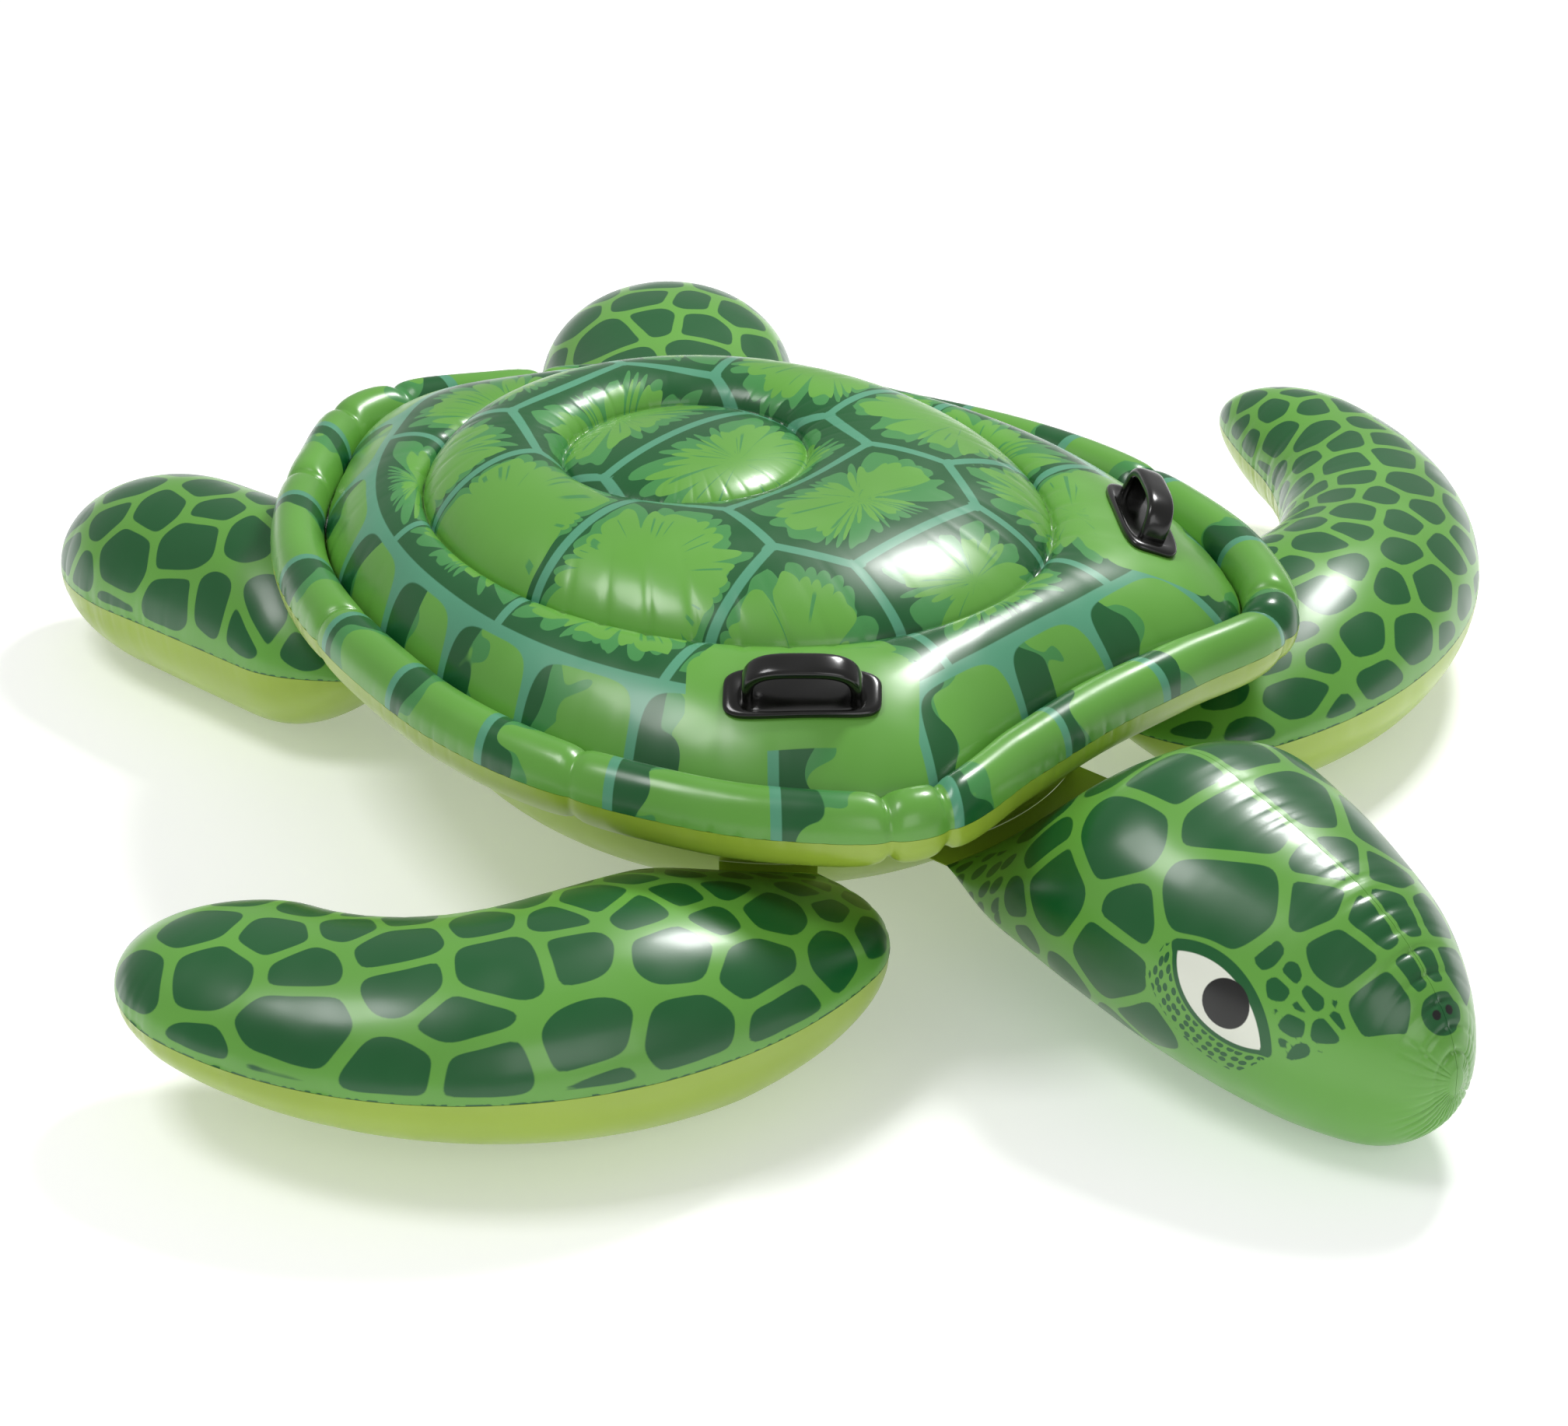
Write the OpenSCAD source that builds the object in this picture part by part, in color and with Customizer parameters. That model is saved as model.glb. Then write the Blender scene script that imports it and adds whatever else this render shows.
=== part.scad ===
// Inflatable ride-on pool float in the form of a sea turtle.
// The nose points to -Y, the turtle's left side is +X and the floor is z = 0.
// Every panel is a skin of welded sheet vinyl, closed on both faces and along its edges.

/* [Vinyl] */
// Thickness of the sheet vinyl
gauge = 0.45; // [0.3:0.05:0.8]
// Width of the weld line that is left between two panels
seam_gap = 0.3; // [0.2:0.05:0.5]

/* [Shell] */
// Width of the shell over the rim seam
shell_w = 680; // [620:2:760]
// Length of the shell over the rim seam
shell_l = 798; // [740:2:900]
// Height of the rim seam above the floor
rim_z = 189; // [178:1:215]
// Width of the rim tube
rim_w = 44; // [34:1:54]
// Height of the rim tube
rim_h = 54; // [40:1:60]
// Rise of the padded ring above the line between its two seams
ring_puff = 28; // [15:1:45]
// Width of the dome seam
dome_w = 433; // [360:2:460]
// Length of the dome seam
dome_l = 502; // [440:2:530]
// Distance of the dome's middle behind the origin
dome_y = 19; // [0:1:40]
// Height of the dome seam above the floor
dome_z = 241; // [230:1:252]
// Rise of the dome pad above the line between its two seams
dome_puff = 35; // [20:1:55]
// Width of the middle pad's seam
island_w = 190; // [150:2:230]
// Length of the middle pad's seam
island_l = 180; // [150:2:230]
// Distance of the middle pad behind the origin
island_y = 70; // [50:1:85]
// Height of the middle pad's seam above the floor
island_z = 266; // [255:1:280]
// Rise of the middle pad
island_puff = 22; // [10:1:35]

/* [Underside] */
// Drop from the rim seam to the flat underside of the shell
shell_drop = 50; // [40:1:60]
// Width of the rounded edge of the underside
under_round = 30; // [20:1:50]
// Width of the belly where it meets the underside
belly_w = 500; // [440:2:520]
// Length of the belly where it meets the underside
belly_l = 560; // [530:2:600]
// Depth by which the belly's bowl is cut off by the floor
belly_sink = 10; // [6:1:20]

/* [Flippers] */
// Depth of the flipper and neck hinges below the flat underside
hinge_drop = 55; // [48:1:62]
// Length of each flipper's hinge
hinge_l = 70; // [50:1:90]
// Thickness of the weld tabs that the flippers and the neck hang on
tab_t = 0.9; // [0.6:0.1:1.5]
// Least reach of a weld tab from the belly to its hinge
tab_reach = 8; // [5:0.5:15]
// Direction of the front flippers' roots, in degrees forward of straight out
front_root = 45; // [40:1:50]
// Direction of the rear flippers' roots, in degrees behind straight out
rear_root = 60; // [54:1:64]
// Length of the front right flipper
front_right_l = 565; // [500:5:650]
// Width of the front right flipper at its shoulder
front_right_w = 232; // [180:2:240]
// Width of the front right flipper near its tip
front_right_tip = 160; // [100:2:170]
// Bend of the front right flipper, in degrees
front_right_bend = 148; // [110:1:155]
// Length of the front left flipper
front_left_l = 672; // [560:5:720]
// Width of the front left flipper at its shoulder
front_left_w = 256; // [200:2:280]
// Width of the front left flipper near its tip
front_left_tip = 94; // [80:2:150]
// Bend of the front left flipper, in degrees
front_left_bend = 132; // [95:1:140]
// Length of the rear right flipper
rear_right_l = 388; // [320:5:440]
// Width of the rear right flipper at its shoulder
rear_right_w = 170; // [140:2:190]
// Width of the rear right flipper near its tip
rear_right_tip = 174; // [140:2:200]
// Bend of the rear right flipper, in degrees
rear_right_bend = 3; // [2:1:20]
// Length of the rear left flipper
rear_left_l = 412; // [360:5:470]
// Width of the rear left flipper at its shoulder
rear_left_w = 166; // [140:2:190]
// Width of the rear left flipper near its tip
rear_left_tip = 250; // [180:2:260]
// Bend of the rear left flipper, in degrees
rear_left_bend = 3; // [2:1:30]
// Heading of the front flippers at their hinges, in degrees forward of straight out
front_heading = 40; // [34:1:45]
// Heading of the rear right flipper at its hinge, in degrees behind straight out
rear_right_heading = 89; // [70:1:90]
// Heading of the rear left flipper at its hinge, in degrees behind straight out
rear_left_heading = 41; // [36:1:70]
// Rise of a front flipper above its seam at the shoulder
front_rise = 100; // [70:1:105]
// Rise of a front flipper above its seam near the tip
front_tip_rise = 42; // [34:1:60]
// Height of a front flipper's seam at its tip
front_tip_z = 94; // [70:1:110]
// Rise of a rear flipper above its seam at the shoulder
rear_rise = 90; // [60:1:95]
// Rise of a rear flipper above its seam near the tip
rear_tip_rise = 78; // [60:1:95]
// Height of the rear right flipper's seam at its tip
rear_right_tip_z = 68; // [50:1:110]
// Height of the rear left flipper's seam at its tip
rear_left_tip_z = 125; // [60:1:130]
// Length over which a front flipper swells up from its hinge
front_swell = 265; // [250:5:320]
// Length over which a rear flipper swells up from its hinge
rear_swell = 170; // [150:5:240]
// Length over which a flipper's underside swells down from its hinge
keel_swell = 120; // [90:5:180]
// Length over which a flipper widens from its hinge
root_flare = 95; // [70:5:140]
// Share of a front flipper's length that its tip is rounded over
front_tip_round = 0.16; // [0.1:0.01:0.4]
// Share of a rear flipper's length that its tip is rounded over
rear_tip_round = 0.35; // [0.2:0.01:0.5]
// Clearance of the flippers and the chin above the floor
floor_gap = 2.5; // [2:0.5:8]

/* [Head] */
// Length of the head and neck from the neck hinge to the nose
head_l = 415; // [360:2:460]
// Width of the head at the cheeks
head_w = 242; // [210:2:280]
// Height of the crown above the floor
head_h = 214; // [195:1:235]
// Turn of the head towards the turtle's right, in degrees
head_turn = 10; // [0:1:12]
// Length of the neck's hinge
neck_hinge_l = 180; // [130:1:200]
// Clearance between the neck and the rim above it
neck_gap = 24; // [18:1:34]

/* [Handles] */
// Place of a handle to the side, as a share of the shell's width
handle_side = 0.275; // [0.26:0.005:0.295]
// Place of a handle in front of the origin, as a share of the shell's length
handle_front = 0.274; // [0.25:0.001:0.278]
// Turn of a handle from the fore and aft line, in degrees
handle_turn = 41; // [25:1:50]
// Length of a handle's base
handle_l = 109; // [100:1:126]
// Width of a handle's base
handle_w = 40; // [34:1:48]
// Thickness of a handle's base
handle_t = 3; // [2:0.25:4]
// Length of the grip over its feet
grip_l = 84; // [76:1:94]
// Height of the grip above the base's seat
grip_h = 32; // [30:1:42]
// Thickness of the grip
grip_t = 9; // [7:0.5:12]
// Width of the grip
grip_w = 20; // [14:1:26]

/* [Valves] */
// Radius of a valve's welded flange
flange_r = 17; // [15:0.5:22]
// Thickness of a valve's flange
flange_t = 1.2; // [0.8:0.1:2]
// Outer radius of a valve's stem
stem_r = 7; // [6:0.25:8]
// Bore radius of a valve's stem
stem_bore_r = 4; // [3.5:0.25:4.5]
// Length of the stem behind the skin
stem_l = 16; // [13:0.5:20]
// Height of a pressed-in stem above the skin
stem_proud = 3; // [2.6:0.1:4]
// Radial clearance of the stem in its flange
stem_clear = 0.3; // [0.2:0.05:0.5]
// Radius of the plug's cap
cap_r = 6; // [5:0.25:7]
// Thickness of the plug's cap
cap_t = 2; // [1.5:0.25:3]
// Length of the plug's peg
peg_l = 4.5; // [3:0.25:5]
// Distance of the shell's valve from the rear edge of the shell
shell_valve_inset = 120; // [110:1:140]
// Slope of the belly at the belly's valve, in degrees down its bowl
belly_valve_slope = 20; // [14:1:26]

/* [Hidden] */
$fn = 48;

// Colours of the vinyl and the mouldings
leaf = "#6ca44f";
deep = "#3c6d4d";
lime = "#9cba58";
clear_vinyl = "#dfe9dc";
black_vinyl = "#15160c";

// Rim outline: radii every 15 degrees from the tail round to the front, for the right side and the left
rim_radii = [450, 412, 381, 355, 336, 329, 336, 350, 369, 394, 408, 364, 347];
rim_turns = 2 * (len(rim_radii) - 1);
// Panels are worked out in this many steps round the shell
steps = 40;
around = [for (k = [0 : steps - 1]) 360 * k / steps];
// Share of a pillow's height at its rise from a seam
puff_power = 0.6;

// Values that follow from the sizes above
bottom_z = rim_z - shell_drop;
hinge_z = bottom_z - hinge_drop;
bowl_z = bottom_z - 2 * seam_gap;
bowl_depth = bowl_z + belly_sink;
shape_w = 2 * max([for (u = [-30 : 3 : 30]) rim_radius(u) * cos(u)]);
shape_l = rim_radius(90) + rim_radius(-90);
rear_edge = rim_xy(90).y;

function mix(a, b, t) = a + (b - a) * t;
function unit(v) = v / norm(v);
function spin(v, a) = [v.x * cos(a) - v.y * sin(a), v.x * sin(a) + v.y * cos(a), v.z];

// Smooth curve through four values, between the middle two
function catmull(a, b, c, d, t) =
    0.5 * (2 * b + (c - a) * t + (2 * a - 5 * b + 4 * c - d) * t * t + (3 * b - a - 3 * c + d) * t * t * t);
// Smooth curve through a list, at a place from 0 to 1 along it
function curve(v, t) =
    let (n = len(v) - 1, x = min(max(t, 0), 1) * n, i = min(floor(x), n - 1))
    catmull(v[max(i - 1, 0)], v[i], v[i + 1], v[min(i + 2, n)], x - i);
// Height of a pillow between two seams, 0 at both and 1 in the middle
function puff(t) = pow(max(4 * t * (1 - t), 0), puff_power);
// Height of a round pad, 0 at its seam and 1 in the middle
function round_puff(t) = pow(1 - (1 - t) * (1 - t), puff_power);

// The rim outline's own radius in a direction, mirrored about the middle plane
function radius_at(i) =
    let (k = (i % rim_turns + rim_turns) % rim_turns)
    rim_radii[k < len(rim_radii) ? k : rim_turns - k];
function rim_radius(u) =
    let (x = (90 - u) * rim_turns / 360, i = floor(x))
    catmull(radius_at(i - 1), radius_at(i), radius_at(i + 1), radius_at(i + 2), x - i);
// Plan curves of the shell: rim seam, rim groove, dome seam, middle pad's seam and belly
function rim_xy(u) = rim_radius(u) * [cos(u) * shell_w / shape_w, sin(u) * shell_l / shape_l];
function inset_xy(u, d) = let (p = rim_xy(u)) p * (1 - d / norm(p));
function groove_xy(u) = inset_xy(u, rim_w);
function dome_xy(u) = [dome_w / 2 * cos(u), dome_y + dome_l / 2 * sin(u)];
function island_xy(u) = [island_w / 2 * cos(u), island_y + island_l / 2 * sin(u)];
function belly_r(u) = 1 / norm([2 * cos(u) / belly_w, 2 * sin(u) / belly_l]);

// Points of the shell's top: ring, dome and middle pad, t = 0 at the outer seam
function at_height(p, z) = [p.x, p.y, z];
function ring_at(u, t) =
    at_height(
        mix(groove_xy(u), dome_xy(u), t),
        mix(rim_z + seam_gap / 2, dome_z, t) + ring_puff * puff(t)
    );
function dome_at(u, t) =
    at_height(mix(dome_xy(u), island_xy(u), t), mix(dome_z, island_z, t) + dome_puff * puff(t));
function island_at(u, t) =
    at_height(mix(island_xy(u), [0, island_y], t), island_z + island_puff * round_puff(t));
// Points of the rim tube, a = 0 at the outer seam, 90 at the crest and 180 at the groove
function rim_at(u, a, up) =
    at_height(
        inset_xy(u, (rim_w - seam_gap) / 2 * (1 - cos(a))),
        rim_z + up * (seam_gap / 2 + rim_h / 2 * sin(a))
    );
// Points of the underside's rounded edge, a = 0 at the groove and 90 at the flat
function under_at(u, a) =
    at_height(
        inset_xy(u, rim_w + seam_gap + under_round * (1 - cos(a))),
        rim_z - seam_gap - shell_drop * sin(a)
    );
// Points of the belly's bowl, a = 0 at its top edge
function bowl_at(u, a) =
    let (r = belly_r(u) * cos(a))
    [r * cos(u), r * sin(u), bowl_z - bowl_depth * sin(a)];
bowl_end = asin(bowl_z / bowl_depth);

// Skins of sheet vinyl on a grid of points
// Outward direction at a grid point; wrap joins the last column to the first
function grid_normal(g, i, j, wrap) =
    let (
        m = len(g),
        n = len(g[0]),
        a = g[min(i + 1, m - 1)][j] - g[max(i - 1, 0)][j],
        b = wrap ? g[i][(j + 1) % n] - g[i][(j + n - 1) % n] : g[i][min(j + 1, n - 1)] - g[i][max(j - 1, 0)]
    )
    unit(cross(a, b));
function quad(a, b, c, d) = [[a, b, c], [a, c, d]];
function turned(f, s) = s > 0 ? f : [for (t = f) [t[0], t[2], t[1]]];

// A closed skin of thickness t; s is the side of the grid that faces out, pole closes the last row
module skin(g, t, s, wrap = false, pole = undef) {
    m = len(g);
    n = len(g[0]);
    cols = wrap ? n : n - 1;
    half = m * n;
    outer = [for (row = g) for (p = row) p];
    inner = [for (i = [0 : m - 1]) for (j = [0 : n - 1]) g[i][j] - s * t * grid_normal(g, i, j, wrap)];
    ends = is_undef(pole) ? [] : [pole, [pole.x, pole.y, inner[half - 1].z + pole.z - outer[half - 1].z]];
    top = 2 * half;
    function at(i, j) = i * n + j % n;
    faces = concat(
        [for (i = [0 : m - 2]) for (j = [0 : cols - 1])
            each quad(at(i, j), at(i, j + 1), at(i + 1, j + 1), at(i + 1, j))],
        [for (i = [0 : m - 2]) for (j = [0 : cols - 1])
            each quad(half + at(i, j), half + at(i + 1, j), half + at(i + 1, j + 1), half + at(i, j + 1))],
        [for (j = [0 : cols - 1]) each quad(at(0, j + 1), at(0, j), half + at(0, j), half + at(0, j + 1))],
        is_undef(pole)
            ? [for (j = [0 : cols - 1])
                each quad(at(m - 1, j), at(m - 1, j + 1), half + at(m - 1, j + 1), half + at(m - 1, j))]
            : [for (j = [0 : cols - 1])
                each [[at(m - 1, j), at(m - 1, j + 1), top],
                    [half + at(m - 1, j + 1), half + at(m - 1, j), top + 1]]],
        wrap ? [] : [for (i = [0 : m - 2])
            each concat(quad(at(i, 0), at(i + 1, 0), half + at(i + 1, 0), half + at(i, 0)),
                quad(at(i + 1, n - 1), at(i, n - 1), half + at(i, n - 1), half + at(i + 1, n - 1)))]
    );
    polyhedron(concat(outer, inner, ends), turned(faces, s));
}

// Shell panels
module shell_top_panel() {
    rows = concat(
        [for (t = [0, 0.1, 0.28, 0.5, 0.72, 0.9]) [for (u = around) ring_at(u, t)]],
        [for (t = [0, 0.14, 0.4, 0.7, 0.9]) [for (u = around) dome_at(u, t)]],
        [for (t = [0, 0.25, 0.6]) [for (u = around) island_at(u, t)]]
    );
    color(deep) skin(rows, gauge, -1, true, [0, island_y, island_z + island_puff]);
}

module shell_bottom_panel() {
    rows = [for (a = [0, 30, 60, 90]) [for (u = around) under_at(u, a)]];
    color(lime)
    difference() {
        skin(rows, gauge, 1, true, [0, 0, bottom_z - seam_gap]);
        shell_valve_place() cylinder(r = skin_hole_r, h = 2 * stem_l, center = true);
    }
}

module rim_strip(up, tint) {
    rows = [for (a = [0 : 45 : 180]) [for (u = around) rim_at(u, a, up)]];
    color(tint) skin(rows, gauge, -up, true);
}
module rim_top_strip() { rim_strip(1, leaf); }
module rim_bottom_strip() { rim_strip(-1, lime); }

// Upright webs inside the shell hold the seams of the dome and the middle pad down
module web(outline, top_z) {
    floor_z = bottom_z + gauge;
    color(clear_vinyl)
    translate([0, 0, floor_z])
    linear_extrude(top_z - gauge - seam_gap - floor_z)
    difference() {
        polygon(outline);
        offset(delta = -gauge) polygon(outline);
    }
}
module dome_web() { web([for (u = around) dome_xy(u)], dome_z); }
module island_web() { web([for (u = around) island_xy(u)], island_z); }

module belly_panel() {
    slopes = concat([0], [for (k = [0 : 3]) mix(wall_slope, bowl_end, k / 3)]);
    rows = [for (a = slopes) [for (u = around) bowl_at(u, a)]];
    color(lime)
    difference() {
        skin(rows, gauge, 1, true);
        belly_valve_place() cylinder(r = skin_hole_r, h = 2 * stem_l, center = true);
    }
}

module belly_floor() {
    edge = gauge / sin(bowl_end) + seam_gap;
    color(lime)
    linear_extrude(gauge)
    offset(delta = -edge)
    polygon([for (u = around) let (p = bowl_at(u, bowl_end)) [p.x, p.y]]);
}

// Hinge of a limb: the belly's wall at hinge height, the weld tab's reach and the limb's heading
wall_slope = asin((bowl_z - hinge_z - tab_t / 2) / bowl_depth);
function wall_r(u) = belly_r(u) * cos(wall_slope);
function ray(u) = [cos(u), sin(u)];
function hinge_xy(u, heading, l) =
    (wall_r(u) + tab_reach + l / 2 * abs(sin(heading - u))) * ray(u);

// Distance to the belly panel's flat facet in a direction, at hinge height
function facet_r(u) =
    let (
        k = floor(u * steps / 360),
        p = [for (i = [k, k + 1]) wall_r(360 * i / steps) * ray(360 * i / steps)],
        d = p[1] - p[0]
    )
    cross(p[0], d) / cross(ray(u), d);
// A flat tab welded along the belly, with its far edge on the hinge line
module tab(u, heading, l) {
    spread = asin(l / 2 / wall_r(u));
    middle = hinge_xy(u, heading, l) - seam_gap * ray(heading);
    across = l / 2 * ray(heading + 90);
    corners = [for (v = around) each [v - 360, v]];
    turns = concat(u - spread, [for (v = corners) if (abs(v - u) < spread) v], u + spread);
    wall = [for (v = turns) (facet_r(v) + seam_gap) * ray(v)];
    color(lime)
    translate([0, 0, hinge_z - tab_t / 2])
    linear_extrude(tab_t)
    polygon(concat(wall, [middle + across, middle - across]));
}
module front_right_tab() { flipper_tab(front_right); }
module front_left_tab() { flipper_tab(front_left); }
module rear_right_tab() { flipper_tab(rear_right); }
module rear_left_tab() { flipper_tab(rear_left); }
module neck_tab() { tab(-90, neck_heading, neck_hinge_l); }
module flipper_tab(f) { tab(root_u(f), heading(f), hinge_l); }

// Flippers: side, root direction, heading, length, shoulder width, tip width, bend, rise, tip rise,
// tip seam height, swell length and share of the length that the tip is rounded over
front_right = [-1, -front_root, -front_heading, front_right_l, front_right_w, front_right_tip,
    front_right_bend, front_rise, front_tip_rise, front_tip_z, front_swell, front_tip_round];
front_left = [1, -front_root, -front_heading, front_left_l, front_left_w, front_left_tip,
    front_left_bend, front_rise, front_tip_rise, front_tip_z, front_swell, front_tip_round];
rear_right = [-1, rear_root, rear_right_heading, rear_right_l, rear_right_w, rear_right_tip,
    rear_right_bend, rear_rise, rear_tip_rise, rear_right_tip_z, rear_swell, rear_tip_round];
rear_left = [1, rear_root, rear_left_heading, rear_left_l, rear_left_w, rear_left_tip,
    rear_left_bend, rear_rise, rear_tip_rise, rear_left_tip_z, rear_swell, rear_tip_round];
// Directions seen from above, counted from +X, for either side
function outward(f, a) = f[0] > 0 ? a : 180 - a;
function root_u(f) = outward(f, f[1]);
function heading(f) = outward(f, f[2]);

// Rows along a flipper lie closer together towards its tip
flipper_rows = [for (k = [0 : 12]) sin(90 * k / 12)];
flipper_arc = [for (k = [0 : 6]) 180 * k / 6];
// Share of the full section that is left at a rounded tip
tip_left = 0.07;
function tip_fade(f, t) =
    let (q = max(0, (t - 1 + f[11]) / f[11]))
    sqrt(1 - (1 - tip_left * tip_left) * q * q);
function swell(f, t, l) = sin(90 * min(t * f[3] / l, 1));
function half_width(f, t) =
    let (w = mix(f[4], f[5], t) / 2)
    mix(hinge_l / 2, w, swell(f, t, root_flare)) * tip_fade(f, t);
function seam_z(f, t) = mix(hinge_z, f[9], t * t);
function top_rise(f, t) = max(mix(f[7], f[8], t) * swell(f, t, f[10]), tab_t / 2) * tip_fade(f, t);
function bottom_drop(f, t) =
    let (d = min(mix(f[7], f[8], t), seam_z(f, t) - floor_gap))
    max(d * swell(f, t, keel_swell), tab_t / 2) * tip_fade(f, t);
// Middle line of a flipper: an arc that starts along the heading
function spine_xy(f, t) =
    let (r = f[3] * 180 / PI / f[6], a = f[2] + f[6] * t)
    hinge_xy(root_u(f), heading(f), hinge_l)
        + r * [f[0] * (sin(a) - sin(f[2])), cos(f[2]) - cos(a)];
// Points of a half, which starts a gauge off the seam because its inner face leans over the seam
function flipper_at(f, t, b, up) =
    let (
        a = f[2] + f[6] * t,
        p = spine_xy(f, t) + half_width(f, t) * cos(b) * [f[0] * sin(a), -cos(a)],
        h = up > 0 ? top_rise(f, t) : bottom_drop(f, t)
    )
    [p.x, p.y, seam_z(f, t) + up * (gauge + h * sin(b))];
module flipper_half(f, up, tint) {
    rows = [for (t = flipper_rows) [for (b = flipper_arc) flipper_at(f, t, b, up)]];
    color(tint) skin(rows, gauge, up * f[0]);
}
module front_right_top() { flipper_half(front_right, 1, leaf); }
module front_right_bottom() { flipper_half(front_right, -1, lime); }
module front_left_top() { flipper_half(front_left, 1, leaf); }
module front_left_bottom() { flipper_half(front_left, -1, lime); }
module rear_right_top() { flipper_half(rear_right, 1, leaf); }
module rear_right_bottom() { flipper_half(rear_right, -1, lime); }
module rear_left_top() { flipper_half(rear_left, 1, leaf); }
module rear_left_bottom() { flipper_half(rear_left, -1, lime); }

// Head and neck: two side panels welded along the crown and the throat
neck_heading = -90 - head_turn;
neck_hinge = hinge_xy(-90, neck_heading, neck_hinge_l);
neck_top = rim_z - rim_h / 2 - neck_gap;
// Stations along the head: share of its length, top, bottom and share of its half width
head_stations = [
    [0, hinge_z + tab_t / 2, hinge_z - tab_t / 2, neck_hinge_l / head_w],
    [0.13, neck_top, 0.2 * head_h, 0.88],
    [0.25, 0.86 * head_h, 0.13 * head_h, 0.96],
    [0.38, head_h, 0.08 * head_h, 1],
    [0.53, 0.965 * head_h, 0.04 * head_h, 0.955],
    [0.67, 0.905 * head_h, floor_gap, 0.845],
    [0.79, 0.835 * head_h, floor_gap, 0.705],
    [0.895, 0.72 * head_h, 0.05 * head_h, 0.49],
    [0.97, 0.56 * head_h, 0.18 * head_h, 0.25],
    [1, 0.42 * head_h, 0.33 * head_h, 0.05]
];
function head_at(t, b, side) =
    let (
        s = curve(head_stations, t),
        x = side * (seam_gap / 2 + s[3] * head_w / 2 * sin(b)),
        p = spin([x, -s[0] * head_l, mix(s[2], s[1], (1 + cos(b)) / 2)], -head_turn)
    )
    [p.x + neck_hinge.x, p.y + neck_hinge.y, p.z];
module head_panel(side) {
    rows = [for (k = [0 : 12]) [for (b = [0 : 22.5 : 180]) head_at(k / 12, b, side)]];
    color(leaf) skin(rows, gauge, side);
}
module head_left_panel() { head_panel(1); }
module head_right_panel() { head_panel(-1); }

// Handles: a base moulded to the padded ring and a grip that stands on it
function ring_place(p, u, t, n) =
    n == 0 ? [u, t] :
    let (
        q = ring_at(u, t),
        du = ring_at(u + 1, t) - q,
        dt = (ring_at(u, t + 0.01) - q) / 0.01,
        d = [p.x - q.x, p.y - q.y],
        det = du.x * dt.y - du.y * dt.x
    )
    ring_place(p, u + (d.x * dt.y - d.y * dt.x) / det, t + (du.x * d.y - du.y * d.x) / det, n - 1);
function ring_normal(u, t) =
    unit(cross(ring_at(u, t + 0.01) - ring_at(u, t - 0.01), ring_at(u - 1, t) - ring_at(u + 1, t)));
// A point over the ring, at a height along the ring's own normal
function over_ring(p, h) =
    let (s = ring_place(p, atan2(p.y, p.x), 0.5, 5))
    ring_at(s[0], s[1]) + h * ring_normal(s[0], s[1]);
handle_along = [-sin(handle_turn), -cos(handle_turn)];
handle_across = [cos(handle_turn), -sin(handle_turn)];
function handle_xy(a, b) =
    [handle_side * shell_w, -handle_front * shell_l] + a * handle_along + b * handle_across;
function squared(x, p) = sign(x) * pow(abs(x), p);
// Rounding of the base's corners and of the grip's bend
corner = 0.45;
grip_bend = 0.6;
module handle_base() {
    top = seam_gap + handle_t;
    function edge(v) = [handle_l / 2 * squared(cos(v), corner), handle_w / 2 * squared(sin(v), corner)];
    rows = [for (k = [1, 0.75, 0.4]) [for (v = [0 : 15 : 345])
        over_ring(handle_xy(k * edge(v).x, k * edge(v).y), top)]];
    skin(rows, handle_t, -1, true, over_ring(handle_xy(0, 0), top));
}
module handle_grip() {
    reach = (grip_l - grip_t) / 2;
    feet = [for (e = [-1, 1]) over_ring(handle_xy(e * reach, 0), seam_gap + handle_t / 2)];
    up = let (s = ring_place(handle_xy(0, 0), -handle_turn, 0.5, 5)) ring_normal(s[0], s[1]);
    along = unit(feet[1] - feet[0]);
    across = unit(cross(along, up));
    function path(b) = mix(feet[0], feet[1], (1 - squared(cos(b), grip_bend)) / 2)
        + (grip_h - grip_t / 2) * squared(sin(b), grip_bend) * up;
    bends = [0, 6, 16, 30, 46, 64, 90, 116, 134, 150, 164, 174, 180];
    sides = 10;
    rings = [for (b = bends)
        let (
            go = b == 0 ? up : b == 180 ? -up : unit(path(b + 1) - path(b - 1)),
            out = cross(across, go)
        )
        [for (k = [0 : sides - 1])
            let (
                v = 360 * (k + 0.5) / sides,
                wide = grip_w / 2 * squared(cos(v), grip_bend),
                thick = grip_t / 2 * squared(sin(v), grip_bend)
            )
            path(b) + wide * across + thick * out]];
    m = len(rings);
    function at(i, j) = i * sides + j % sides;
    faces = concat(
        [for (i = [0 : m - 2]) for (j = [0 : sides - 1])
            each quad(at(i, j), at(i, j + 1), at(i + 1, j + 1), at(i + 1, j))],
        [for (j = [1 : sides - 2]) [at(0, 0), at(0, j + 1), at(0, j)]],
        [for (j = [1 : sides - 2]) [at(m - 1, 0), at(m - 1, j), at(m - 1, j + 1)]]
    );
    polyhedron([for (r = rings) each r], faces);
}
module handle_left() {
    color(black_vinyl) {
        handle_base();
        handle_grip();
    }
}
module handle_right() { mirror([1, 0, 0]) handle_left(); }

// Valves: each is drawn with its skin at z = 0 and the outside towards +z
// Gaps between a valve's parts, and the clearance of the peg in the stem's bore
valve_clear = 0.3;
peg_clear = 0.25;
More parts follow.
